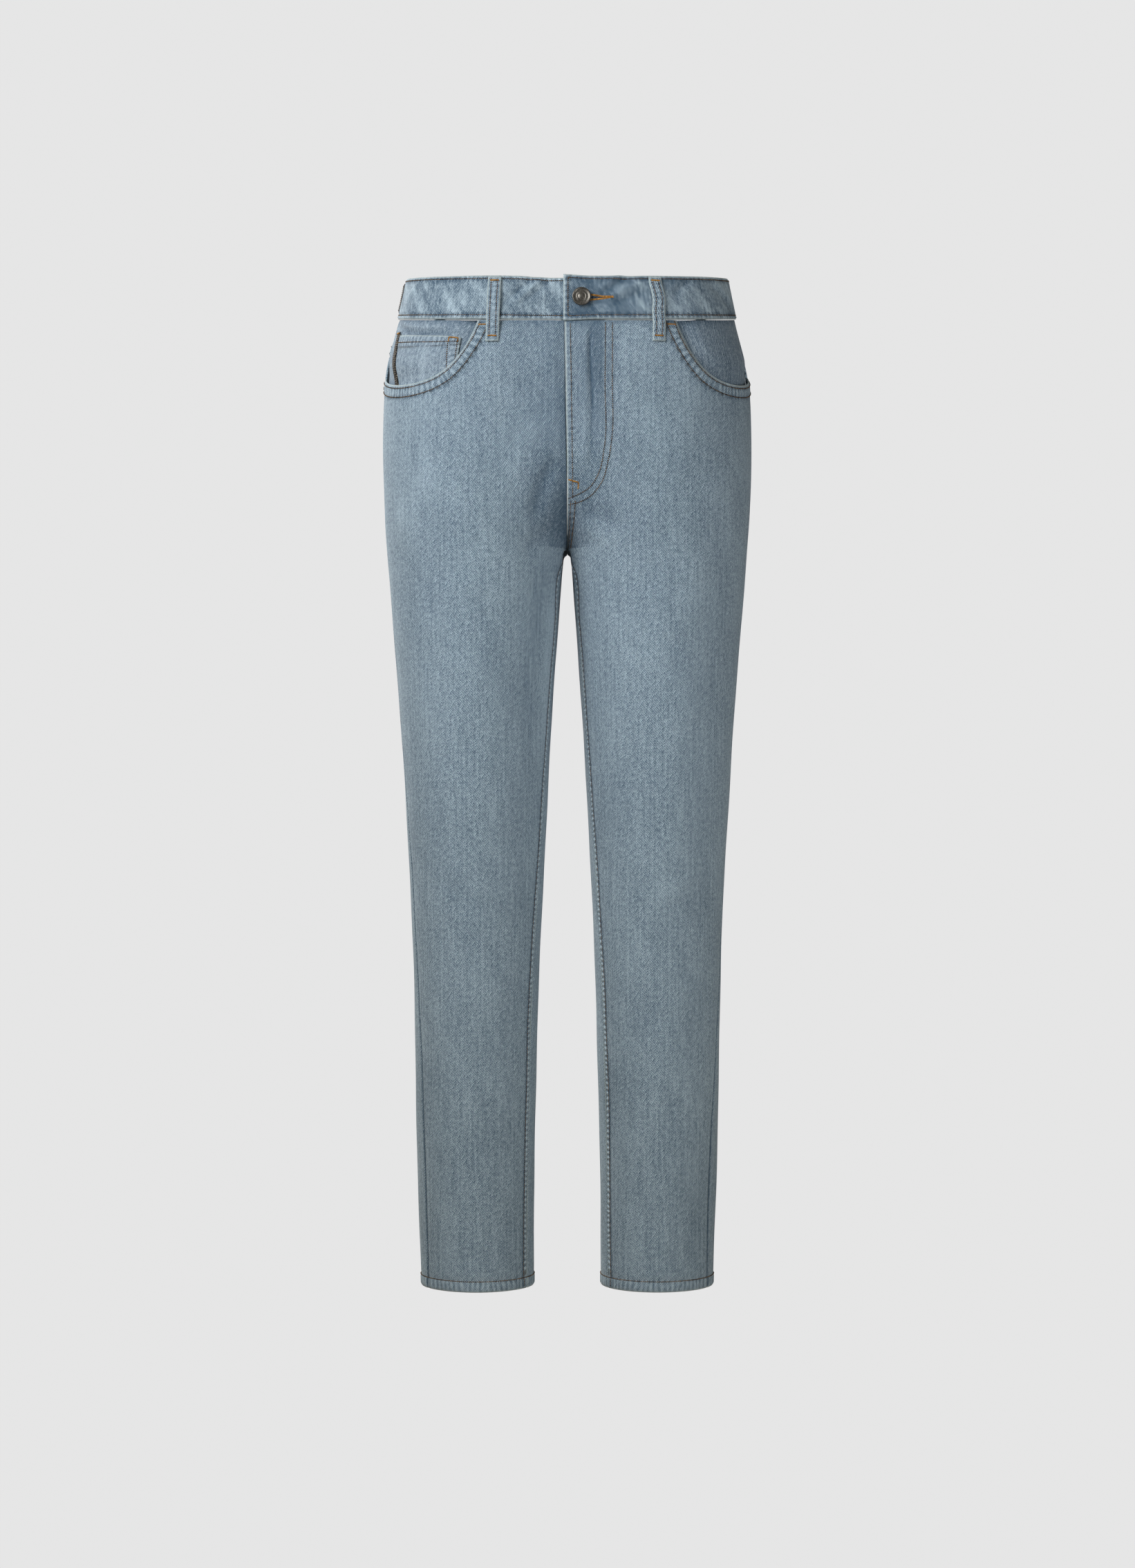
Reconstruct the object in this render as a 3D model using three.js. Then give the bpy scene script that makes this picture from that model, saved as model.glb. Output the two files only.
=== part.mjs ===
// Tapered five-pocket jeans in light denim, standing open as if worn.
// Millimetres, +Z up, the front faces -Y, the wearer's left is +X, origin at the middle of the waist opening.

import * as THREE from 'three';

// Driving sizes
const CROTCH_Z = -257;
const HEM_Z = -943;
const CLOTH = 1.5;
const SEAM_GAP = 0.3;
const PATCH_GAP = 0.6;
const HEM_DEPTH = 12;
const HEM_PLIES = 3.2;
const HEM_PROUD = 0.5;
const RIGHT = -1;
const LEFT = 1;

// The waistband's edges lie in two planes that rise towards the back: height at the side, rise per mm of y
const BAND_TOP = { side: 0, rise: 0.132 };
const BAND_FOOT = { side: -37.6, rise: 0.154 };
const BAND_PROUD = 1.6;
const LAP_END_X = 3.6;
const UNDERLAP_LENGTH = 34;
const UNDERLAP_SINK = 3.5;
const UNDERLAP_RAMP = 60;

// One row for each height. outer and inner are the x reach of one leg, front and back its depth, outerY and
// innerY the y of those side points, apexFront and apexBack the x where the cloth lies deepest
const SECTIONS = [
  { z: 30, outer: 146.0, inner: 0, front: 93, back: 91, outerY: 0, innerY: 0, apexFront: 45, apexBack: 50 },
  { z: 0, outer: 149.5, inner: 0, front: 96, back: 95, outerY: 0, innerY: 0, apexFront: 46, apexBack: 52 },
  { z: -38, outer: 157.3, inner: 0, front: 101, back: 104, outerY: 1, innerY: 0, apexFront: 50, apexBack: 56 },
  { z: -100, outer: 171.5, inner: 0, front: 108, back: 121, outerY: 3, innerY: 0, apexFront: 58, apexBack: 64 },
  { z: -160, outer: 173.2, inner: 0, front: 108, back: 129, outerY: 4, innerY: -4, apexFront: 68, apexBack: 72 },
  { z: -220, outer: 171.3, inner: 0, front: 103, back: 119, outerY: 4, innerY: -9, apexFront: 78, apexBack: 78 },
  { z: -257, outer: 169.0, inner: 3.2, front: 98, back: 108, outerY: 4, innerY: -12, apexFront: 83, apexBack: 83 },
  { z: -330, outer: 163.3, inner: 8.8, front: 90, back: 94, outerY: 3, innerY: -6, apexFront: 86, apexBack: 86 },
  { z: -460, outer: 153.6, inner: 17.0, front: 79, back: 78, outerY: 1, innerY: 0, apexFront: 86, apexBack: 86 },
  { z: -588, outer: 146.5, inner: 23.4, front: 68, back: 67, outerY: 0, innerY: 0, apexFront: 85, apexBack: 85 },
  { z: -700, outer: 143.1, inner: 27.8, front: 61, back: 63, outerY: 0, innerY: 0, apexFront: 85, apexBack: 85 },
  { z: -822, outer: 141.0, inner: 30.5, front: 57, back: 57, outerY: 0, innerY: 0, apexFront: 86, apexBack: 86 },
  { z: -943, outer: 137.0, inner: 31.6, front: 53, back: 52, outerY: 0, innerY: 0, apexFront: 84, apexBack: 84 },
];
// Squareness of the outer corners of a section, on the hips and on the legs, and the heights it changes between
const SQUARENESS = { torso: 2.15, leg: 1.93, torsoZ: -120, legZ: -370 };

// How far the thighs press into each other at the crotch, how that grows above it and fades below it
const PRESS = { depth: 6, rise: 0.44, curve: 0.02, fade: 25 };
const CROTCH_CORNER = 4;

// Where a leg panel's columns take up the width of the inner thigh
const SPREAD_DEPTH = 110;
const SPREAD_POWER = 14;

// Seam lines, as mm of cloth round the leg towards the front: from the outer side for the side seams,
// from the inner side for the inseam
const SEAMS = [
  { z: 0, sideRight: 8, sideLeft: -8, inseam: 8 },
  { z: -257, sideRight: 8, sideLeft: -8, inseam: 8 },
  { z: -269, sideRight: 8, sideLeft: -8, inseam: 24 },
  { z: -282, sideRight: 8, sideLeft: -8, inseam: 29 },
  { z: -327, sideRight: 9, sideLeft: -7, inseam: 20 },
  { z: -400, sideRight: 12, sideLeft: -4, inseam: 22 },
  { z: -504, sideRight: 19, sideLeft: 3, inseam: 25 },
  { z: -645, sideRight: 25, sideLeft: 14, inseam: 28 },
  { z: -838, sideRight: 31, sideLeft: 30, inseam: 27 },
  { z: -943, sideRight: 28, sideLeft: 26, inseam: 26 },
];

// Pocket mouths: depth below the waist at the side seam and at the deepest handles, and reach round the front
const SCOOPS = {
  [RIGHT]: { sideZ: -94, sideHandle: 62, sideHandleZ: -114, reach: 141, frontHandle: 3, frontHandleZ: -122 },
  [LEFT]: { sideZ: -91, sideHandle: 63, sideHandleZ: -112, reach: 121.5, frontHandle: 6, frontHandleZ: -124 },
};
const FACING_TUCK = 6;
const FACING_MIN_DEPTH = 9;
const FACING_LEVEL = -0.6;
const FACING_SINK = -2.3;
const FACING_RISE = 18;
const FACING_CLOTH = 1.2;
const MOUTH_COLUMNS = 8;

// Fly: the left front laps past the middle by FLY_LAP at the waist, running out at FLY_LAP_END
const FLY_LAP = 2.6;
const FLY_LAP_END = -202;
const FLY_STEP = 1.2;
const FLY_STEP_WIDTH = 14;
const FLY_STEP_FADE = 40;

// Coin pocket and tape on the right facing: places as mm of cloth from the outer side, and heights
const COIN = { startReach: 54, endReach: 131, startZ: -58.5, endZ: -68.5, footGap: 2.4 };
const TAPE = { topReach: 40, footReach: 60, topZ: -56, footZ: -100, width: 8, thickness: 0.8 };

// Yoke seam heights, back pocket and waist patch
const YOKE = { sideZ: -72, middleZ: -88 };
const BACK_POCKET = { x: 86, topZ: -112, footX: 82, width: 130, footWidth: 110, height: 140, point: 22 };
const PATCH = { start: 2, length: 58, below: 4, height: 28, thickness: 1.4 };

// Belt loops: x at the top and foot for the front pair, mm of cloth behind the outer side for the side pair
const LOOP = { width: 12, thickness: 1.8, topDrop: 1.5, footDrop: 20, bow: 1.6 };
const FRONT_LOOP_X = { [RIGHT]: { top: 64.5, foot: 68 }, [LEFT]: { top: 78, foot: 83.5 } };
const FRONT_LOOP_LENGTH = 75;
const SIDE_LOOP_REACH = { [RIGHT]: -88, [LEFT]: -80 };
const BUTTON = { x: 13, drop: 20.2, radius: 8.6, rim: 1.1, height: 3.6 };

const DENIM = { color: 0x8fa4b5, roughness: 0.9, metalness: 0 };
const FACING_DENIM = { color: 0x9db0bd, roughness: 0.9, metalness: 0 };
const METAL = { color: 0x6f6b66, roughness: 0.45, metalness: 0.9 };
const TAPE_WEAVE = { color: 0x1f1d1b, roughness: 0.9, metalness: 0 };
const LEATHER = { color: 0x141414, roughness: 0.6, metalness: 0 };

const mix = (a, b, t) => a + (b - a) * t;
const ramp = (t) => {
  const part = Math.min(Math.max(t, 0), 1);
  return part * part * (3 - 2 * part);
};

// Smooth reading of one column of a table at height z, rising and falling only where the rows do
function read(table, column, z) {
  const last = table.length - 1;
  const height = Math.max(Math.min(z, table[0].z), table[last].z);
  let i = 0;
  while (i < last - 1 && height < table[i + 1].z) i += 1;
  const slope = (k) => (table[k + 1][column] - table[k][column]) / (table[k + 1].z - table[k].z);
  const tangent = (k) => {
    if (k === 0) return slope(0);
    if (k === last) return slope(last - 1);
    const before = slope(k - 1);
    const after = slope(k);
    return before * after <= 0 ? 0 : (2 * before * after) / (before + after);
  };
  const step = table[i + 1].z - table[i].z;
  const t = (height - table[i].z) / step;
  const ease = t * t * (3 - 2 * t);
  return (1 - ease) * table[i][column] + ease * table[i + 1][column]
    + step * t * (1 - t) * ((1 - t) * tangent(i) - t * tangent(i + 1));
}

// The rounded thighs press together at the crotch. pressed is where their inner sides would reach without the
// other leg, and flat is the x of the flat face that they really have there
function innerSide(z) {
  if (z > CROTCH_Z) {
    const rise = z - CROTCH_Z;
    return { pressed: -(PRESS.depth + PRESS.rise * rise + PRESS.curve * rise ** 2), flat: SEAM_GAP / 2 };
  }
  const fall = CROTCH_Z - z;
  const inner = read(SECTIONS, 'inner', z);
  const corner = Math.min(fall / CROTCH_CORNER, 1);
  return {
    pressed: inner - (PRESS.depth + read(SECTIONS, 'inner', CROTCH_Z)) * Math.exp(-fall / PRESS.fade),
    flat: Math.max(inner * Math.sqrt(1 - (1 - corner) ** 2), SEAM_GAP / 2),
  };
}

// Half of one leg's outline at height z, from its outer side round to the inner side or the middle
function halfOutline(z, facing) {
  const isFront = facing < 0;
  const depth = facing * read(SECTIONS, isFront ? 'front' : 'back', z);
  const apex = read(SECTIONS, isFront ? 'apexFront' : 'apexBack', z);
  const outer = read(SECTIONS, 'outer', z);
  const outerY = read(SECTIONS, 'outerY', z);
  const innerY = read(SECTIONS, 'innerY', z);
  const { pressed, flat } = innerSide(z);
  const blend = Math.min(Math.max((SQUARENESS.torsoZ - z) / (SQUARENESS.torsoZ - SQUARENESS.legZ), 0), 1);
  const power = 2 / mix(SQUARENESS.torso, SQUARENESS.leg, blend);
  const steps = 48;
  const points = [];
  for (let i = 0; i <= steps; i += 1) {
    const angle = (Math.PI / 2) * (i / steps);
    const across = Math.max(Math.cos(angle), 0) ** power;
    const along = Math.sin(angle) ** power;
    points.push({ x: mix(apex, outer, across), y: mix(outerY, depth, along) });
  }
  const end = Math.asin(Math.min((apex - flat) / (apex - pressed), 1));
  for (let i = 1; i <= steps; i += 1) {
    const angle = end * (i / steps);
    points.push({ x: mix(apex, pressed, Math.sin(angle)), y: mix(innerY, depth, Math.cos(angle)) });
  }
  if (z <= CROTCH_Z) points.push({ x: flat, y: innerY });
  let length = 0;
  points.forEach((point, i) => {
    if (i > 0) length += Math.hypot(point.x - points[i - 1].x, point.y - points[i - 1].y);
    point.reach = length;
  });
  return points;
}

const outlines = new Map();
function outline(z) {
  const key = z.toFixed(3);
  if (!outlines.has(key)) {
    const front = halfOutline(z, -1);
    const back = halfOutline(z, 1);
    outlines.set(key, { front, back, frontEnd: front.at(-1).reach, backEnd: back.at(-1).reach });
  }
  return outlines.get(key);
}

function along(points, reach) {
  const end = points.at(-1);
  if (reach >= end.reach) return { x: end.x - (reach - end.reach), y: end.y };
  let low = 0;
  let high = points.length - 1;
  while (high - low > 1) {
    const mid = (low + high) >> 1;
    if (points[mid].reach <= reach) low = mid;
    else high = mid;
  }
  const t = (reach - points[low].reach) / (points[high].reach - points[low].reach);
  return {
    x: points[low].x + t * (points[high].x - points[low].x),
    y: points[low].y + t * (points[high].y - points[low].y),
  };
}

// A place on the cloth is a height and a reach: mm round from the outer side, + to the front, - to the back
function place(z, reach) {
  const ring = outline(z);
  let way = reach;
  if (z <= CROTCH_Z) {
    if (way > ring.frontEnd) way -= ring.frontEnd + ring.backEnd;
    if (way < -ring.backEnd) way += ring.frontEnd + ring.backEnd;
  }
  const point = way >= 0 ? along(ring.front, way) : along(ring.back, -way);
  return new THREE.Vector3(point.x, point.y, z);
}

function outward(z, reach) {
  const step = 1.5;
  const round = place(z, reach + step).sub(place(z, reach - step));
  const up = place(z + step, reach).sub(place(z - step, reach));
  const normal = up.cross(round);
  const ring = outline(z);
  const atMiddle = z > CROTCH_Z && (reach > ring.frontEnd - 1 || reach < 1 - ring.backEnd);
  if (atMiddle) normal.x = 0;
  return normal.normalize();
}

// A point of one side of the garment, moved out from the cloth's outer face by the given mm
function skin(side, z, reach, out) {
  const point = place(z, reach).addScaledVector(outward(z, reach), out);
  point.x *= side;
  return point;
}

// Reach of the point that lies at x on the front or back of the section at height z
function reachAtX(z, x, facing) {
  const points = facing < 0 ? outline(z).front : outline(z).back;
  let i = points.findIndex((point, k) => k > 0 && point.x <= x);
  if (i < 0) i = points.length - 1;
  const t = (points[i - 1].x - x) / (points[i - 1].x - points[i].x);
  return -facing * (points[i - 1].reach + t * (points[i].reach - points[i - 1].reach));
}

// Height where the cloth at this reach crosses one of the band's planes
function planeHeight(plane, reachAt, drop = 0) {
  let z = plane.side - drop;
  for (let i = 0; i < 6; i += 1) z = plane.side - drop + plane.rise * place(z, reachAt(z)).y;
  return z;
}

// A closed wall over a grid of { outer, inner } points
function wall(grid) {
  const rows = grid.length;
  const columns = grid[0].length;
  const positions = [];
  ['outer', 'inner'].forEach((face) => {
    grid.forEach((row) => row.forEach((cell) => positions.push(...cell[face].toArray())));
  });
  const at = (face, i, j) => face * rows * columns + i * columns + j;
  const triangles = [];
  const quad = (a, b, c, d) => triangles.push(a, b, c, a, c, d);
  for (let i = 0; i < rows - 1; i += 1) {
    for (let j = 0; j < columns - 1; j += 1) {
      quad(at(0, i, j), at(0, i + 1, j), at(0, i + 1, j + 1), at(0, i, j + 1));
      quad(at(1, i, j), at(1, i, j + 1), at(1, i + 1, j + 1), at(1, i + 1, j));
    }
  }
  for (let j = 0; j < columns - 1; j += 1) {
    quad(at(0, 0, j), at(0, 0, j + 1), at(1, 0, j + 1), at(1, 0, j));
    quad(at(0, rows - 1, j + 1), at(0, rows - 1, j), at(1, rows - 1, j), at(1, rows - 1, j + 1));
  }
  for (let i = 0; i < rows - 1; i += 1) {
    quad(at(0, i + 1, 0), at(0, i, 0), at(1, i, 0), at(1, i + 1, 0));
    quad(at(0, i, columns - 1), at(0, i + 1, columns - 1), at(1, i + 1, columns - 1), at(1, i, columns - 1));
  }
  return facingOut(positions, triangles);
}

// A closed tube through stations of equally many points, with flat ends
function loft(stations) {
  const count = stations[0].length;
  const positions = stations.flatMap((station) => station.flatMap((point) => point.toArray()));
  const triangles = [];
  for (let i = 0; i < stations.length - 1; i += 1) {
    for (let j = 0; j < count; j += 1) {
      const next = (j + 1) % count;
      const a = i * count;
      const b = a + count;
      triangles.push(a + j, a + next, b + next, a + j, b + next, b + j);
    }
  }
  const last = (stations.length - 1) * count;
  for (let j = 1; j < count - 1; j += 1) {
    triangles.push(0, j + 1, j, last, last + j, last + j + 1);
  }
  return facingOut(positions, triangles);
}

function facingOut(positions, triangles) {
  const corner = (k) => new THREE.Vector3().fromArray(positions, 3 * triangles[k]);
  let volume = 0;
  for (let k = 0; k < triangles.length; k += 3) {
    volume += corner(k).dot(corner(k + 1).cross(corner(k + 2)));
  }
  const geometry = new THREE.BufferGeometry();
  geometry.setAttribute('position', new THREE.Float32BufferAttribute(positions, 3));
  geometry.setIndex(volume > 0 ? triangles : triangles.toReversed());
  geometry.computeVertexNormals();
  return geometry;
}

const garment = new THREE.Group();
function add(name, geometry, finish) {
  const mesh = new THREE.Mesh(geometry, new THREE.MeshStandardMaterial(finish));
  mesh.name = name;
  garment.add(mesh);
  return mesh;
}

const sideSeam = (side, z) => read(SEAMS, side === RIGHT ? 'sideRight' : 'sideLeft', Math.min(z, 0));
const inseam = (z) => read(SEAMS, 'inseam', z);
const flyLap = (z) => FLY_LAP * Math.min(Math.max((z - FLY_LAP_END) / (BAND_FOOT.side - FLY_LAP_END), 0), 1.1);

function waistSeam(reachAt) {
  return planeHeight(BAND_FOOT, reachAt, SEAM_GAP);
}

// Pocket mouth, from the side seam (t = 0) to the waist seam (t = 1), as reach and height
function scoopPoint(side, t) {
  const scoop = SCOOPS[side];
  const start = sideSeam(side, scoop.sideZ);
  const endZ = waistSeam(() => scoop.reach);
  const curve = new THREE.CubicBezierCurve(
    new THREE.Vector2(start, scoop.sideZ),
    new THREE.Vector2(start + scoop.sideHandle, scoop.sideHandleZ),
    new THREE.Vector2(scoop.reach + scoop.frontHandle, scoop.frontHandleZ),
    new THREE.Vector2(scoop.reach, endZ),
  );
  return { point: curve.getPoint(t), tangent: curve.getTangent(t) };
}

function scoopHeight(side, reach) {
  let low = 0;
  let high = 0.9;
  for (let i = 0; i < 24; i += 1) {
    const mid = (low + high) / 2;
    if (scoopPoint(side, mid).point.x < reach) low = mid;
    else high = mid;
  }
  return scoopPoint(side, low).point.y;
}

// Heights below the crotch where a panel has a row: close together at the crotch, then evenly to the hem
const CROTCH_ROWS = [2, 6, 12, 22, 42, 73];
const LEG_STEPS = 13;
function legRows() {
  const rows = CROTCH_ROWS.map((fall) => CROTCH_Z - fall);
  const start = rows.at(-1);
  const hemTop = HEM_Z + HEM_DEPTH;
  for (let i = 1; i <= LEG_STEPS; i += 1) rows.push(mix(start, hemTop, i / LEG_STEPS));
  rows.push(hemTop - 1, HEM_Z);
  return rows;
}
const LEG_ROWS = legRows();

// Heights of one panel column: from its top edge to the crotch, closing up towards it, then down the leg
function columnHeights(topZ, torsoSteps) {
  const heights = [];
  for (let i = 0; i < torsoSteps; i += 1) {
    heights.push(mix(CROTCH_Z, topZ, (1 - i / torsoSteps) ** 2));
  }
  return [...heights, CROTCH_Z, ...LEG_ROWS];
}

// The turned-up hem thickens the wall, mostly inside
function hemmed(z, sink) {
  const inHem = z < HEM_Z + HEM_DEPTH - 0.5;
  return inHem ? { out: HEM_PROUD, depth: HEM_PLIES } : { out: -sink, depth: CLOTH };
}

function panelCell(side, z, reach, sink) {
  const { out, depth } = hemmed(z, sink);
  return { outer: skin(side, z, reach, out), inner: skin(side, z, reach, out - depth) };
}

// A panel's column at a share of the way from one edge to the other. Below the crotch the panel also covers
// the inner side of the thigh, and close to the crotch only its last columns take up that width
function spread(from, to, z, part) {
  const length = to(z) - from(z);
  if (z > CROTCH_Z) return from(z) + part * length;
  const above = CROTCH_Z + 0.1;
  const even = mix(to(above) - from(above), length, ramp((CROTCH_Z - z) / SPREAD_DEPTH));
  return from(z) + part * even + (length - even) * part ** SPREAD_POWER;
}

// Front leg panel. Its columns start at the pocket mouth, and the last ones at the waist seam
function frontPanel(side) {
  const bodyColumns = 7;
  const torsoSteps = 9;
  const from = (z) => sideSeam(side, z) + SEAM_GAP / 2;
  const to = (z) => {
    if (z <= CROTCH_Z) return outline(z).frontEnd - inseam(z) - SEAM_GAP / 2;
    const middle = outline(z).frontEnd;
    return side === LEFT ? middle + flyLap(z) : middle - flyLap(z) - (flyLap(z) > 0 ? SEAM_GAP : 0);
  };
  const share = (point) => (point.x - from(point.y)) / (to(point.y) - from(point.y));
  const shares = [];
  const tops = [];
  for (let j = 0; j <= MOUTH_COLUMNS; j += 1) {
    const { point } = scoopPoint(side, j / MOUTH_COLUMNS);
    shares.push(j === 0 ? 0 : share(point));
    tops.push(point.y);
  }
  const mouthShare = shares.at(-1);
  for (let j = 1; j <= bodyColumns; j += 1) {
    const part = mix(mouthShare, 1, j / bodyColumns);
    shares.push(part);
    tops.push(waistSeam((z) => mix(from(z), to(z), part)));
  }
  const columns = shares.map((part, j) => columnHeights(tops[j], torsoSteps).map((z) => {
    const reach = spread(from, to, z, part);
    const fromMiddle = outline(z).frontEnd - reach;
    const lapped = side === RIGHT && z > CROTCH_Z ? ramp((z - CROTCH_Z) / FLY_STEP_FADE - 0.25) : 0;
    const sink = FLY_STEP * lapped * (1 - ramp(fromMiddle / FLY_STEP_WIDTH));
    return panelCell(side, z, reach, sink);
  }));
  return wall(columns);
}

// Back leg panel, from the yoke seam down, round the inner side of the leg to the inseam
function backPanel(side) {
  const columnCount = 13;
  const torsoSteps = 8;
  const from = (z) => sideSeam(side, z) - SEAM_GAP / 2;
  const to = (z) => -outline(z).backEnd - (z <= CROTCH_Z ? inseam(z) - SEAM_GAP / 2 : 0);
  const columns = [];
  for (let j = 0; j <= columnCount; j += 1) {
    const part = j / columnCount;
    const top = mix(YOKE.sideZ, YOKE.middleZ, part) - SEAM_GAP;
    columns.push(columnHeights(top, torsoSteps).map((z) => panelCell(side, z, spread(from, to, z, part), 0)));
  }
  return wall(columns);
}

function yoke(side) {
  const columnCount = 12;
  const rowCount = 3;
  const columns = [];
  for (let j = 0; j <= columnCount; j += 1) {
    const part = j / columnCount;
    const reachAt = (z) => mix(sideSeam(side, z) - SEAM_GAP / 2, -outline(z).backEnd, part);
    const top = waistSeam(reachAt);
    const foot = mix(YOKE.sideZ, YOKE.middleZ, part);
    const column = [];
    for (let i = 0; i <= rowCount; i += 1) {
      const z = mix(top, foot, i / rowCount);
      column.push(panelCell(side, z, reachAt(z), 0));
    }
    columns.push(column);
  }
  return wall(columns);
}

// The facing lies under the panel at the pocket mouth's edge, and comes up towards the panels' level inside it
function facingLevel(side, z, reach) {
  const samples = 24;
  let distance = Infinity;
  for (let i = 0; i <= samples; i += 1) {
    const { point } = scoopPoint(side, i / samples);
    distance = Math.min(distance, Math.hypot(point.x - reach, point.y - z));
  }
  const hidden = reach > SCOOPS[side].reach - 1 || z < scoopHeight(side, reach) + 1;
  return hidden ? FACING_SINK : mix(FACING_SINK, FACING_LEVEL, ramp((distance - 3) / FACING_RISE));
}

function pocketFacing(side) {
  const columns = [];
  for (let j = 0; j <= MOUTH_COLUMNS; j += 1) {
    const { point, tangent } = scoopPoint(side, j / MOUTH_COLUMNS);
    const reach = j === 0 ? point.x + SEAM_GAP / 2 : point.x + FACING_TUCK * tangent.y;
    const top = waistSeam(() => reach);
    const underPanel = reach > SCOOPS[side].reach - 1;
    const mouth = underPanel ? top - FACING_MIN_DEPTH / 2 : scoopHeight(side, reach) + 1;
    const foot = Math.min(point.y - FACING_TUCK * Math.max(tangent.x, 0.2), top - FACING_MIN_DEPTH);
    const heights = [top, mix(top, mouth, 0.3), mix(top, mouth, 0.6), mix(top, mouth, 0.85), mouth, foot];
    columns.push(heights.map((z) => {
      const level = facingLevel(side, z, reach);
      return { outer: skin(side, z, reach, level), inner: skin(side, z, reach, level - FACING_CLOTH) };
    }));
  }
  return wall(columns);
}

function coinPocket() {
  const columnCount = 6;
  const rowCount = 3;
  const columns = [];
  for (let j = 0; j <= columnCount; j += 1) {
    const part = j / columnCount;
    const column = [];
    for (let i = 0; i <= rowCount; i += 1) {
      const topReach = mix(COIN.startReach, COIN.endReach, part);
      const top = mix(COIN.startZ, COIN.endZ, part);
      const startReach = mix(TAPE.topReach, TAPE.footReach, (TAPE.topZ - top) / (TAPE.topZ - TAPE.footZ));
      const foot = scoopHeight(RIGHT, topReach) + COIN.footGap;
      const z = mix(top, foot, i / rowCount);
      const tapeSide = mix(TAPE.topReach, TAPE.footReach, (TAPE.topZ - z) / (TAPE.topZ - TAPE.footZ)) - startReach;
      const reach = topReach + tapeSide * (1 - part);
      const level = facingLevel(RIGHT, z, reach) + PATCH_GAP;
      column.push({ outer: skin(RIGHT, z, reach, level + FACING_CLOTH), inner: skin(RIGHT, z, reach, level) });
    }
    columns.push(column);
  }
  return wall(columns);
}

function sideTape() {
  const rowCount = 6;
  const rows = [];
  for (let i = 0; i <= rowCount; i += 1) {
    const part = i / rowCount;
    const z = mix(TAPE.topZ, TAPE.footZ, part);
    const middle = mix(TAPE.topReach, TAPE.footReach, part);
    rows.push([-0.5, 0, 0.5].map((across) => {
      const reach = middle + across * TAPE.width;
      const level = facingLevel(RIGHT, z, reach) + PATCH_GAP;
      return { outer: skin(RIGHT, z, reach, level + TAPE.thickness), inner: skin(RIGHT, z, reach, level) };
    }));
  }
  return wall(rows);
}

// Waistband cross-section: share of the height from foot to top, and mm out from the panels' outer face
const BAND_PROFILE = [
  { rise: 0, out: 0.3 }, { rise: 0.05, out: BAND_PROUD }, { rise: 0.5, out: BAND_PROUD },
  { rise: 0.95, out: BAND_PROUD }, { rise: 1, out: 0.8 }, { rise: 1, out: -0.8 },
  { rise: 0.96, out: -CLOTH }, { rise: 0.5, out: -CLOTH }, { rise: 0.02, out: -CLOTH },
];

// The band runs from its lapped end on the left front, round the back, to the end beneath that lap
function waistband() {
  const stations = [];
  const station = (side, reachAt) => {
    const foot = planeHeight(BAND_FOOT, reachAt);
    const top = planeHeight(BAND_TOP, reachAt);
    const pastMiddle = side === RIGHT ? reachAt(foot) - outline(foot).frontEnd : -UNDERLAP_RAMP;
    const sink = UNDERLAP_SINK * ramp(1 + (pastMiddle + 2 * LAP_END_X) / UNDERLAP_RAMP);
    stations.push(BAND_PROFILE.map(({ rise, out }) => {
      const z = mix(foot, top, rise);
      return skin(side, z, reachAt(z), out - sink);
    }));
  };
  const perQuarter = 15;
  station(LEFT, (z) => outline(z).frontEnd + LAP_END_X);
  for (let i = 0; i < perQuarter; i += 1) {
    station(LEFT, (z) => outline(z).frontEnd * (1 - i / perQuarter));
  }
  for (let i = 0; i < perQuarter; i += 1) {
    station(LEFT, (z) => -outline(z).backEnd * (i / perQuarter));
  }
  for (let i = perQuarter; i > 0; i -= 1) {
    station(RIGHT, (z) => -outline(z).backEnd * (i / perQuarter));
  }
  for (let i = 0; i <= perQuarter; i += 1) {
    station(RIGHT, (z) => outline(z).frontEnd * (i / perQuarter));
  }
  [1 / 3, 2 / 3, 1].forEach((part) => station(RIGHT, (z) => outline(z).frontEnd + part * UNDERLAP_LENGTH));
  return loft(stations);
}

// Belt loop profile down the loop: share of its length, and mm that its inner face stands off
const LOOP_PROFILE = [
  { down: 0, off: BAND_PROUD + SEAM_GAP, over: 0 }, { down: 0.06, off: BAND_PROUD + SEAM_GAP, over: 0.2 },
  { down: 0.2, off: BAND_PROUD + SEAM_GAP, over: 0.75 }, { down: 0.38, off: BAND_PROUD + SEAM_GAP, over: 1 },
  { down: 0.56, off: BAND_PROUD + SEAM_GAP, over: 0.85 }, { down: 0.7, off: BAND_PROUD + SEAM_GAP, over: 0.3 },
  { down: 0.84, off: SEAM_GAP, over: 0.25 }, { down: 0.91, off: SEAM_GAP, over: 0 },
  { down: 1, off: SEAM_GAP, over: 0 },
];

function beltLoop(side, reachAt) {
  const top = planeHeight(BAND_TOP, reachAt, LOOP.topDrop);
  const foot = planeHeight(BAND_FOOT, reachAt, LOOP.footDrop);
  const rows = LOOP_PROFILE.map(({ down, off, over }) => {
    const z = mix(top, foot, down);
    return [-0.5, 0, 0.5].map((across) => {
      const reach = reachAt(z) + across * LOOP.width;
      const inner = off + over * LOOP.bow;
      return { outer: skin(side, z, reach, inner + LOOP.thickness), inner: skin(side, z, reach, inner) };
    });
  });
  return wall(rows);
}

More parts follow.
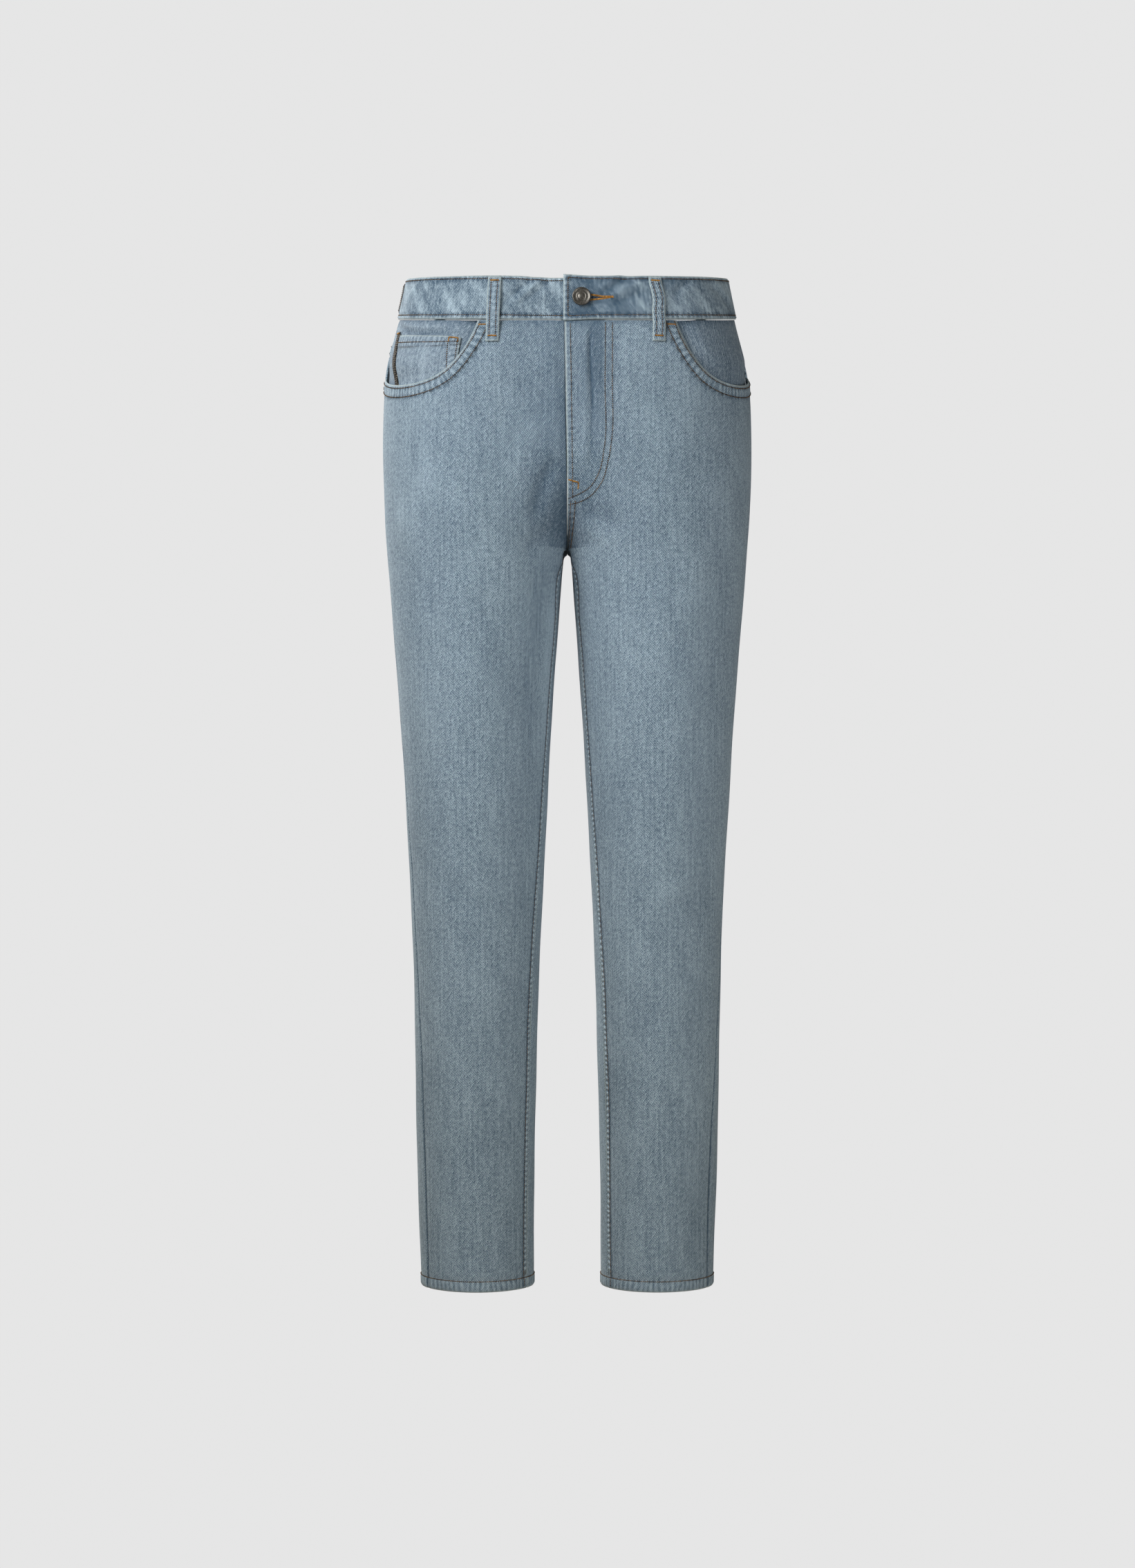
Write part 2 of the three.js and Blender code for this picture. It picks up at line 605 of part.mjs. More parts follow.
function backPocket(side) {
  const columnCount = 10;
  const rowCount = 6;
  const columns = [];
  for (let j = 0; j <= columnCount; j += 1) {
    const across = (j / columnCount) * 2 - 1;
    const column = [];
    for (let i = 0; i <= rowCount; i += 1) {
      const down = i / rowCount;
      const z = BACK_POCKET.topZ - down * (BACK_POCKET.height - BACK_POCKET.point * Math.abs(across));
      const middle = reachAtX(z, mix(BACK_POCKET.x, BACK_POCKET.footX, down), 1);
      const reach = middle + across * 0.5 * mix(BACK_POCKET.width, BACK_POCKET.footWidth, down);
      column.push({ outer: skin(side, z, reach, PATCH_GAP + CLOTH), inner: skin(side, z, reach, PATCH_GAP) });
    }
    columns.push(column);
  }
  return wall(columns);
}

function waistPatch() {
  const columnCount = 6;
  const rowCount = 2;
  const columns = [];
  for (let j = 0; j <= columnCount; j += 1) {
    const reach = -PATCH.start - (j / columnCount) * PATCH.length;
    const top = planeHeight(BAND_TOP, () => reach, PATCH.below);
    const column = [];
    for (let i = 0; i <= rowCount; i += 1) {
      const z = top - PATCH.height * (i / rowCount);
      const level = BAND_PROUD + SEAM_GAP;
      column.push({ outer: skin(RIGHT, z, reach, level + PATCH.thickness), inner: skin(RIGHT, z, reach, level) });
    }
    columns.push(column);
  }
  return wall(columns);
}

// Tack button: a dished cap with a raised rim on a short collar, its axis square to the band
function tackButton() {
  const { radius, rim, height } = BUTTON;
  const profile = [
    [0, 0], [radius * 0.45, 0], [radius * 0.5, 1], [radius * 0.95, 1.2], [radius, 2], [radius * 0.97, height - 0.5],
    [radius * 0.9, height], [radius - 2 * rim, height - 0.2], [radius * 0.66, height - 0.9],
    [radius * 0.34, height - 0.9], [radius * 0.3, height - 0.3], [0, height - 0.2],
  ].map(([x, y]) => new THREE.Vector2(x, y));
  return new THREE.LatheGeometry(profile, 28);
}

[RIGHT, LEFT].forEach((side) => {
  const name = side === RIGHT ? 'right' : 'left';
  add(`front_${name}`, frontPanel(side), DENIM);
  add(`back_${name}`, backPanel(side), DENIM);
  add(`yoke_${name}`, yoke(side), DENIM);
  add(`pocket_facing_${name}`, pocketFacing(side), FACING_DENIM);
  add(`back_pocket_${name}`, backPocket(side), DENIM);
  const { top, foot } = FRONT_LOOP_X[side];
  const frontReach = (z) => reachAtX(z, mix(top, foot, Math.min(-z / FRONT_LOOP_LENGTH, 1)), -1);
  add(`loop_front_${name}`, beltLoop(side, frontReach), DENIM);
  add(`loop_side_${name}`, beltLoop(side, () => SIDE_LOOP_REACH[side]), DENIM);
});
add('coin_pocket', coinPocket(), FACING_DENIM);
add('side_tape', sideTape(), TAPE_WEAVE);
add('waistband', waistband(), DENIM);
add('waist_patch', waistPatch(), LEATHER);

add('loop_back', beltLoop(LEFT, (z) => -outline(z).backEnd), DENIM);

const button = add('button', tackButton(), METAL);
const buttonReach = (z) => reachAtX(z, BUTTON.x, -1);
const buttonZ = planeHeight(BAND_TOP, buttonReach, BUTTON.drop);
const buttonAxis = outward(buttonZ, buttonReach(buttonZ));
button.position.copy(skin(LEFT, buttonZ, buttonReach(buttonZ), BAND_PROUD + SEAM_GAP));
button.quaternion.setFromUnitVectors(new THREE.Vector3(0, 1, 0), buttonAxis);

export default garment;
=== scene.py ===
import math

import bmesh
import bpy
import numpy as np
from mathutils import Matrix, Vector


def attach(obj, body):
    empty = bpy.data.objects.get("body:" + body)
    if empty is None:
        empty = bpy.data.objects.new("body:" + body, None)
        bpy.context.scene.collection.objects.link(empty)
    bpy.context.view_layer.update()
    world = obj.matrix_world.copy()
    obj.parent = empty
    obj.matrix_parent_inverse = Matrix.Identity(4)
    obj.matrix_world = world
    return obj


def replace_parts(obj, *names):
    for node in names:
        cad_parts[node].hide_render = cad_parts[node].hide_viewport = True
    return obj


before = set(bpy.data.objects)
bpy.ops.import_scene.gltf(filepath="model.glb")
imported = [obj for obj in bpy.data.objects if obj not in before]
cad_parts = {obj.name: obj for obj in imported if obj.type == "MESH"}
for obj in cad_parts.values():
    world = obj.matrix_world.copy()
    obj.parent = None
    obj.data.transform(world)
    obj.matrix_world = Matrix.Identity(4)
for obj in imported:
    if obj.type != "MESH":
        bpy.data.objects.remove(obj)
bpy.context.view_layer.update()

# Camera: level with the knees, straight on, 2.8 m away. The long side of the view spans 1.474 m of the
# plane through the legs.
camera = bpy.data.cameras.new("camera")
camera.sensor_width = 36.0
camera.lens = 68.4
camera_object = bpy.data.objects.new("camera", camera)
camera_object.location = (0.0003, -2.8, -0.474)
camera_object.rotation_euler = (math.radians(90), 0, 0)
bpy.context.collection.objects.link(camera_object)
bpy.context.scene.camera = camera_object

# Studio: a pale floor below the hems and a pale surround, seen at the same brightness. The soft key light
# stands high at the front left, with a weaker one behind for the seat.
SURROUND = (0.79, 0.79, 0.79, 1)
AMBIENT = (0.242, 0.236, 0.218, 1)
FLOOR_AMBIENT = (0.15, 0.14, 0.125, 1)
FLOOR_HEIGHT = -1.35


def pale_where_seen(tree, ambient, socket):
    """Feed a socket the surround's colour for the camera, and a dimmer one for every other ray."""
    ray, level = tree.nodes.new("ShaderNodeLightPath"), tree.nodes.new("ShaderNodeMix")
    level.data_type = "RGBA"
    level.inputs[6].default_value, level.inputs[7].default_value = ambient, SURROUND
    tree.links.new(ray.outputs["Is Camera Ray"], level.inputs[0])
    tree.links.new(level.outputs[2], socket)


def make_piece(name, bm, *paints):
    """A smooth object at the origin from a finished bmesh."""
    for face in bm.faces:
        face.smooth = True
    data = bpy.data.meshes.new(name)
    bm.to_mesh(data)
    bm.free()
    for paint in paints:
        data.materials.append(paint)
    piece = bpy.data.objects.new(name, data)
    bpy.context.collection.objects.link(piece)
    return piece


bpy.context.scene.view_settings.view_transform = "Standard"
world = bpy.data.worlds.new("surround")
world.use_nodes = True
tree = world.node_tree
pale_where_seen(tree, AMBIENT, tree.nodes["Background"].inputs["Color"])
bpy.context.scene.world = world
for name, place, aim, size, power, spread in (
    ("key", (-1.4, -1.39, 0.78), (0, 0, -0.08), 1.3, 19.5, 110),
    ("fill", (1.5, -1.7, -0.95), (0, 0, -0.62), 1.0, 2.6, 50),
    ("back", (-1.1, 1.8, 0.8), (0, 0, -0.3), 1.2, 27.0, 110),
):
    lamp = bpy.data.lights.new(name, "AREA")
    lamp.size = size
    lamp.energy = power
    lamp.spread = math.radians(spread)
    lamp_object = bpy.data.objects.new(name, lamp)
    lamp_object.location = place
    lamp_object.rotation_euler = (Vector(aim) - Vector(place)).to_track_quat("-Z", "Y").to_euler()
    lamp_object.visible_camera = False
    bpy.context.collection.objects.link(lamp_object)

floor_paint = bpy.data.materials.new("floor")
floor_paint.use_nodes = True
tree = floor_paint.node_tree
tree.nodes.remove(tree.nodes["Principled BSDF"])
glow = tree.nodes.new("ShaderNodeEmission")
pale_where_seen(tree, FLOOR_AMBIENT, glow.inputs["Color"])
tree.links.new(glow.outputs[0], tree.nodes["Material Output"].inputs["Surface"])
bm = bmesh.new()
bmesh.ops.create_circle(bm, cap_ends=True, segments=64, radius=30)
bmesh.ops.translate(bm, verts=bm.verts, vec=(0, 0, FLOOR_HEIGHT))
make_piece("floor", bm, floor_paint)

# Leg panels: the four long pieces of light washed denim twill, cut to the body's shape and felled or
# overlocked together. The front ones are scooped out at the pockets and the left one laps at the fly.
CROTCH = -257.0
HEM = -943.0
GAP = 0.3
RIGHT, LEFT = -1, 1
SIDES = ((RIGHT, "right"), (LEFT, "left"))
SECTIONS = (  # z, outer and inner x, front and back depth, outer and inner y, x of fullest front and back
    (30, 146.0, 0, 93, 91, 0, 0, 45, 50),
    (0, 149.5, 0, 96, 95, 0, 0, 46, 52),
    (-38, 157.3, 0, 101, 104, 1, 0, 50, 56),
    (-100, 171.5, 0, 108, 121, 3, 0, 58, 64),
    (-160, 173.2, 0, 108, 129, 4, -4, 68, 72),
    (-220, 171.3, 0, 103, 119, 4, -9, 78, 78),
    (-257, 169.0, 3.2, 98, 108, 4, -12, 83, 83),
    (-330, 163.3, 8.8, 90, 94, 3, -6, 86, 86),
    (-460, 153.6, 17.0, 79, 78, 1, 0, 86, 86),
    (-588, 146.5, 23.4, 68, 67, 0, 0, 85, 85),
    (-700, 143.1, 27.8, 61, 63, 0, 0, 85, 85),
    (-822, 141.0, 30.5, 57, 57, 0, 0, 86, 86),
    (-943, 137.0, 31.6, 53, 52, 0, 0, 84, 84),
)
SEAMS = (  # z, reach of the right and the left side seam, mm that the inseam lies forward of the inner side
    (0, 8, -8, 8), (-257, 8, -8, 8), (-269, 8, -8, 24), (-282, 8, -8, 29), (-327, 9, -7, 20),
    (-400, 12, -4, 22), (-504, 19, 3, 25), (-645, 25, 14, 28), (-838, 31, 30, 27), (-943, 28, 26, 26),
)


def ramp(t):
    """Smooth step from 0 to 1 as t goes from 0 to 1."""
    t = np.clip(t, 0, 1)
    return t * t * (3 - 2 * t)


def fade(x, width):
    """Smooth fall from 1 where x is 0 to 0 where it is width."""
    return 1 - ramp(x / width)


def hump(x, middle, half):
    """Soft rise to 1 at the middle, with this half width."""
    return np.exp(-((x - middle) / half) ** 2)


def least(*values):
    return np.minimum.reduce(values)


def most(*values):
    return np.maximum.reduce(values)


def ease(start, end, start_slope, end_slope, step, t):
    """Smooth way from start to end over a step, with these slopes at its ends."""
    part = t * t * (3 - 2 * t)
    return (1 - part) * start + part * end + step * t * (1 - t) * ((1 - t) * start_slope - t * end_slope)


def read(rows, column, z):
    """One column of a table at the heights z, rising and falling only where its rows do."""
    at = np.array([row[0] for row in rows], float)
    value = np.array([row[column] for row in rows], float)
    slope = np.diff(value) / np.diff(at)
    tangent = np.concatenate([slope[:1], np.zeros(len(slope) - 1), slope[-1:]])
    for k, (before, after) in enumerate(zip(slope, slope[1:]), 1):
        if before * after > 0:
            tangent[k] = 2 * before * after / (before + after)
    height = np.clip(np.asarray(z, float), at[-1], at[0])
    i = np.clip(np.searchsorted(-at, -height, side="right") - 1, 0, len(slope) - 1)
    step = at[i + 1] - at[i]
    return ease(value[i], value[i + 1], tangent[i], tangent[i + 1], step, (height - at[i]) / step)


def half_outline(z, facing, is_leg):
    """x, y and reach of half a section, from the outer side round to the inner side or the middle."""
    outer, inner = (float(read(SECTIONS, k, z)) for k in (1, 2))
    depth = facing * float(read(SECTIONS, 3 if facing < 0 else 4, z))
    apex = float(read(SECTIONS, 7 if facing < 0 else 8, z))
    outer_y, inner_y = (float(read(SECTIONS, k, z)) for k in (5, 6))
    if is_leg:
        fall = CROTCH - z
        corner = min(fall / 4, 1)
        pressed = inner - (6 + 3.2) * math.exp(-fall / 25)
        flat = max(inner * math.sqrt(1 - (1 - corner) ** 2), GAP / 2)
    else:
        rise = z - CROTCH
        pressed = -(6 + 0.44 * rise + 0.02 * rise ** 2)
        flat = GAP / 2
    blend = min(max((-120 - z) / 250, 0), 1)
    power = 2 / (2.15 + (1.93 - 2.15) * blend)
    angle = np.linspace(0, math.pi / 2, 97)
    across = np.maximum(np.cos(angle), 0) ** power
    along = np.sin(angle) ** power
    x = apex + (outer - apex) * across
    y = outer_y + (depth - outer_y) * along
    angle = np.linspace(0, math.asin(min((apex - flat) / (apex - pressed), 1)), 97)[1:]
    x = np.append(x, apex + (pressed - apex) * np.sin(angle))
    y = np.append(y, inner_y + (depth - inner_y) * np.cos(angle))
    if is_leg:
        x, y = np.append(x, flat), np.append(y, inner_y)
    reach = np.append(0, np.cumsum(np.hypot(np.diff(x), np.diff(y))))
    return x, y, reach


REACHES = np.arange(-330, 330.1, 1.5)


def survey(heights, is_leg):
    """Points and outward directions of the cloth at these heights and at REACHES, and its ends' reaches."""
    points = np.empty((len(heights), len(REACHES), 3))
    ends = np.empty((len(heights), 2))
    for row, z in enumerate(heights):
        front = half_outline(z, -1, is_leg)
        back = half_outline(z, 1, is_leg)
        front_end, back_end = front[2][-1], back[2][-1]
        way = REACHES.copy()
        if is_leg:
            way = (way + back_end) % (front_end + back_end) - back_end
        line = np.append(-back[2][::-1], front[2][1:])
        x = np.interp(way, line, np.append(back[0][::-1], front[0][1:]))
        y = np.interp(way, line, np.append(back[1][::-1], front[1][1:]))
        if not is_leg:
            x -= np.maximum(way - front_end, 0) + np.maximum(-back_end - way, 0)
        points[row] = np.stack([x, y, np.full(len(x), z)], 1)
        ends[row] = front_end, back_end
    up = -np.gradient(points, axis=0)
    round_it = np.gradient(points, axis=1)
    outward = np.cross(up, round_it)
    if not is_leg:
        from_middle = np.minimum(ends[:, :1] - REACHES, REACHES + ends[:, 1:])
        outward[..., 0] *= ramp(from_middle / 12)
    return points, outward / np.linalg.norm(outward, axis=2, keepdims=True), ends


TORSO_HEIGHTS = np.linspace(36, CROTCH + 0.01, 196)
LEG_HEIGHTS = np.linspace(CROTCH, HEM - 3, 460)
TORSO = survey(TORSO_HEIGHTS, False)
LEG = survey(LEG_HEIGHTS, True)


def front_end(z, end=0):
    above = np.interp(-z, -TORSO_HEIGHTS, TORSO[2][:, end])
    return np.where(z > CROTCH, above, np.interp(-z, -LEG_HEIGHTS, LEG[2][:, end]))


def back_end(z):
    return front_end(z, 1)


# Main creases, soft troughs and ridges: reach and z of both ends, half width, and height.
CREASES = {
    RIGHT: (
        (232, -176, 204, -238, 7.5, -2.4), (222, -140, 186, -206, 11.0, 0.9),
        (230, -240, 188, -268, 8.0, -1.2), (26, -47, 126, -63, 2.2, -2.7), (26, -42, 122, -56, 3.0, 1.5),
        (90, -14, 66, -36, 3.2, -1.4), (158, -38, 180, -8, 2.8, -1.5), (166, -40, 188, -10, 2.4, 1.2),
        (176, -38, 196, -12, 2.8, -1.1), (64, -12, 40, -32, 4.0, 1.3), (118, -180, 60, -262, 16.0, 1.0),
        (120, -262, 92, -330, 12.0, -0.9), (70, -560, 118, -590, 9.0, -0.7),
        (-60, -262, -150, -288, 9.0, -2.2), (-50, -284, -150, -312, 9.0, 1.6),
        (-70, -318, -150, -338, 9.0, -1.6), (-30, -548, -120, -566, 8.0, -2.0),
        (-36, -574, -124, -586, 8.0, 1.6), (-28, -602, -112, -596, 8.0, -1.9),
        (-40, -628, -116, -616, 9.0, 1.2), (-60, -96, -20, -130, 10.0, -1.2),
        (-168, -180, -120, -236, 10.0, -1.6), (-20, -860, -96, -872, 8.0, -1.0),
    ),
    LEFT: (
        (232, -236, 186, -262, 8.0, 1.2), (228, -222, 180, -242, 7.0, -1.0), (190, -36, 140, -10, 3.2, -2.0),
        (184, -39, 138, -18, 2.8, 1.6), (180, -26, 150, -8, 2.6, 1.2), (174, -41, 138, -28, 2.6, -1.5),
        (120, -34, 92, -14, 3.0, -1.3), (80, -12, 40, -34, 4.0, -1.3), (66, -12, 30, -30, 3.6, 1.1),
        (110, -190, 60, -262, 16.0, 0.9), (120, -268, 96, -330, 12.0, 0.9), (64, -552, 116, -584, 9.0, 0.7),
        (-56, -258, -150, -284, 9.0, -2.2), (-46, -280, -146, -308, 9.0, 1.6),
        (-64, -312, -150, -334, 9.0, -1.7), (-34, -544, -118, -560, 8.0, -1.8),
        (-28, -566, -122, -584, 8.0, 1.6), (-36, -598, -116, -594, 8.0, -2.0),
        (-30, -622, -108, -612, 9.0, 1.1), (-62, -98, -20, -134, 10.0, -1.2),
        (-168, -176, -122, -230, 10.0, -1.6), (-26, -856, -92, -868, 8.0, -1.0),
    ),
}


def crease(side, z, reach):
    """How far one side's cloth stands out from its smooth form, mm: its creases and a slight unevenness."""
    out = 0.35 * np.sin(z / 41 + side) * np.sin(reach / 33 + 0.6 * side)
    out = out + 0.25 * np.sin(z / 19 + reach / 27 + 2 * side) * np.sin(reach / 17 - z / 61)
    for reach_a, z_a, reach_b, z_b, half_width, height in CREASES[side]:
        run, rise = reach_b - reach_a, z_b - z_a
        length = math.hypot(run, rise)
        t = ((reach - reach_a) * run + (z - z_a) * rise) / length ** 2
        bow = 0.05 * length * np.sin(math.pi * np.clip(t, 0, 1))
        off = ((reach - reach_a) * rise - (z - z_a) * run) / length - bow
        ends = ramp(t / 0.35 + 0.15) * ramp((1 - t) / 0.35 + 0.15)
        out = out + height * ends * hump(off, 0, half_width)
    return out


def relief(side, z, reach):
    return np.where(side == RIGHT, crease(RIGHT, z, reach), crease(LEFT, z, reach))


def look_up(survey_of, heights, z, reach):
    row = np.clip((heights[0] - z) / (heights[0] - heights[1]), 0, len(heights) - 1.001)
    column = np.clip((reach - REACHES[0]) / (REACHES[1] - REACHES[0]), 0, len(REACHES) - 1.001)
    i, j = row.astype(int), column.astype(int)
    s, t = (row - i)[..., None], (column - j)[..., None]
    found = []
    for grid in survey_of[:2]:
        high = grid[i, j] * (1 - t) + grid[i, j + 1] * t
        low = grid[i + 1, j] * (1 - t) + grid[i + 1, j + 1] * t
        found.append(high * (1 - s) + low * s)
    return found


def arrays(*values):
    return np.broadcast_arrays(*(np.asarray(value, float) for value in values))


def cloth(side, z, reach, out):
    """Points in metres on the garment, moved out by mm from the cloth's creased outer face."""
    side, z, reach, out = arrays(side, z, reach, out)
    upper, leg = look_up(TORSO, TORSO_HEIGHTS, z, reach), look_up(LEG, LEG_HEIGHTS, z, reach)
    point, outward = (np.where((z > CROTCH)[..., None], a, b) for a, b in zip(upper, leg))
    point = point + outward * (out + relief(side, z, reach))[..., None]
    point[..., 0] *= side
    return point * 0.001


class Shade:
    """A number or colour in a material: sums and products of it add Math nodes."""

    def __init__(self, tree, socket=None):
        self.tree, self.socket = tree, socket

    def node(self, kind, settings=None, inputs=None, output=0):
        made = self.tree.nodes.new(kind)
        for key, value in (settings or {}).items():
            setattr(made, key, value)
        for key, value in (inputs or {}).items():
            if isinstance(value, Shade):
                self.tree.links.new(value.socket, made.inputs[key])
            else:
                made.inputs[key].default_value = value
        return Shade(self.tree, made.outputs[output])

    def output(self, key):
        return Shade(self.tree, self.socket.node.outputs[key])

    def maths(self, operation, first, second=0.0):
        return self.node("ShaderNodeMath", {"operation": operation}, {0: first, 1: second})

    def __add__(self, other):
        return self.maths("ADD", self, other)

    def __sub__(self, other):
        return self.maths("SUBTRACT", self, other)

    def __rsub__(self, other):
        return self.maths("SUBTRACT", other, self)

    def __mul__(self, other):
        return self.maths("MULTIPLY", self, other)

    __radd__ = __add__
    __rmul__ = __mul__

    def sine(self):
        return self.maths("SINE", self)

    def step(self, low, high):
        """From 0 where it is low to 1 where it is high, smooth between them."""
        if low > high:
            return 1 - self.step(high, low)
        settings = {"interpolation_type": "SMOOTHSTEP"}
        return self.node("ShaderNodeMapRange", settings, {"Value": self, "From Min": low, "From Max": high})

    def noise(self, x, y, scale, detail=2.0, roughness=0.5):
        """Noise from 0 to 1 over two numbers."""
        place = self.node("ShaderNodeCombineXYZ", {}, {0: x, 1: y})
        inputs = {"Vector": place, "Scale": scale, "Detail": detail, "Roughness": roughness}
        return self.node("ShaderNodeTexNoise", {"noise_dimensions": "2D"}, inputs)

    def blend(self, first, second, kind="MIX"):
        """A colour from first where it is 0 to second, or first changed by second, where it is 1."""
        inputs = {0: self.node("ShaderNodeClamp", {}, {0: self}), 6: first, 7: second}
        return self.node("ShaderNodeMix", {"data_type": "RGBA", "blend_type": kind}, inputs, 2)

    def texture(self, kind, scale, settings=None, **inputs):
        """A texture on the piece's own coordinates."""
        at = self.node("ShaderNodeTexCoord", output="Object")
        return self.node("ShaderNodeTex" + kind, settings, {"Vector": at, "Scale": scale, **inputs})

    def feed(self, shader, key):
        self.tree.links.new(self.socket, shader.inputs[key])

    def emboss(self, shader, strength, distance):
        inputs = {"Height": self, "Strength": strength, "Distance": distance}
        self.node("ShaderNodeBump", {}, inputs).feed(shader, "Normal")


def new_material(name, roughness, metallic=0.0, specular=0.2):
    paint = bpy.data.materials.new(name)
    paint.use_nodes = True
    shader = paint.node_tree.nodes["Principled BSDF"]
    shader.inputs["Roughness"].default_value = roughness
    shader.inputs["Metallic"].default_value = metallic
    shader.inputs["Specular IOR Level"].default_value = specular
    return paint, shader, Shade(paint.node_tree)


def cloth_uv(shade):
    split = shade.node("ShaderNodeSeparateXYZ", {}, {0: shade.node("ShaderNodeUVMap", {"uv_map": "cloth"})})
    return split, split.output(1)


# Pale rim colour: wear along the edges, and the painted highlight of their rolled rims.
PALE_WEAR_AND_RIM_HIGHLIGHT = (0.44, 0.52, 0.53, 1)
# Multiplied into the lower legs: painted shade that darkens them towards the hems, and a greyer colour.
LOWER_LEG_SHADE_AND_GREYING = (0.835, 0.812, 0.765, 1)
RIB_PITCH, RIPPLE_PITCH = 0.0013, 4.9


def denim(name, dark, light, twill_depth=0.5, lean=1, mottle=0.2):
    """Washed twill: pale and blue threads in fine broken ribs that rise to the right, with slubs along the
    warp, faint clouds of the wash, streaks of wear that on the band also paint the shade of small creases,
    pale edges that are partly wear and partly a painted highlight of their rolled rims, painted highlights on
    ridges and painted shade in troughs and grooves, puckers beside the seams shown as bumps and as painted
    light and shade, and painted shade with a greyer colour towards the hems."""
    paint, shader, shade = new_material(name, 0.95, specular=0.08)
    shader.inputs["Sheen Weight"].default_value = 0.15
    shader.inputs["Sheen Roughness"].default_value = 0.5
    shader.inputs["Sheen Tint"].default_value = (1.0, 0.92, 0.76, 1)
    u, v = cloth_uv(shade)
    edge, along, pucker, tone = (
        shade.node("ShaderNodeAttribute", {"attribute_name": label}, output="Fac")
        for label in ("edge", "along", "pucker", "tone")
    )
    grain = shade.noise(u, v * 0.7, 400.0, 3.5, 0.72)
    slub = shade.noise(u, v * 0.035, 430.0, 1.0)
    clouds = shade.noise(u, v * 0.6, 34.0, 3.0)
    # streaks of wear; on the band, with its strong mottle, they also paint the shade of its small creases
    streaks_of_wear_and_shade = shade.noise(u + v * 0.7, v * 0.45, 85.0, 2.0)
    ribs = (u * 0.826 * lean - v * 0.563) * (2 * math.pi / RIB_PITCH) + grain * 9.0
    twill = ribs.sine() * (0.45 + 1.1 * grain)
    # puckers beside the seams: bumps, and painted light and shade in the colour
    ripple = (along * (2 * math.pi / RIPPLE_PITCH) + clouds * 12.0).sine() * pucker
    # the painted shading darkens the colour where shade is painted and lightens it where highlights are
    # painted
    pale = (0.40 + (grain - 0.5) * 1.12 + (slub - 0.5) * 0.40 + twill * twill_depth + (clouds - 0.5) * 0.2
            + (streaks_of_wear_and_shade - 0.5) * mottle + ripple * 0.26 + tone * 0.3)
    # a pale rim along every edge: wear, and the painted highlight of the rolled edge
    rim = (edge + (grain - 0.5) * 2.2).step(2.0, 0.5) * (0.2 + 0.95 * grain)
    body = rim.blend(pale.blend(dark, light), PALE_WEAR_AND_RIM_HIGHLIGHT)
    # darker and greyer towards the hems: painted shade, and a greyer colour
    v.step(-0.15, -0.9).blend(body, LOWER_LEG_SHADE_AND_GREYING, "MULTIPLY").feed(shader, "Base Color")
    (grain * 0.0005 + slub * 0.00015 + twill * 0.00012 + ripple * 0.00045).emboss(shader, 0.8, 1.0)
    return paint


BLUES = (0.062, 0.106, 0.158, 1), (0.470, 0.592, 0.683, 1)
DENIM = denim("denim", *BLUES)
DENIM_INSIDE = denim("denim_inside", (0.16, 0.20, 0.24, 1), (0.55, 0.61, 0.65, 1), 0.2)


def grow(mask):
    """A mask with the grid points that touch it."""
    wide, steps = np.pad(mask, 1), (-1, 0, 1)
    return most(*(np.roll(wide, (a, b), (0, 1)) for a in steps for b in steps))[1:-1, 1:-1]


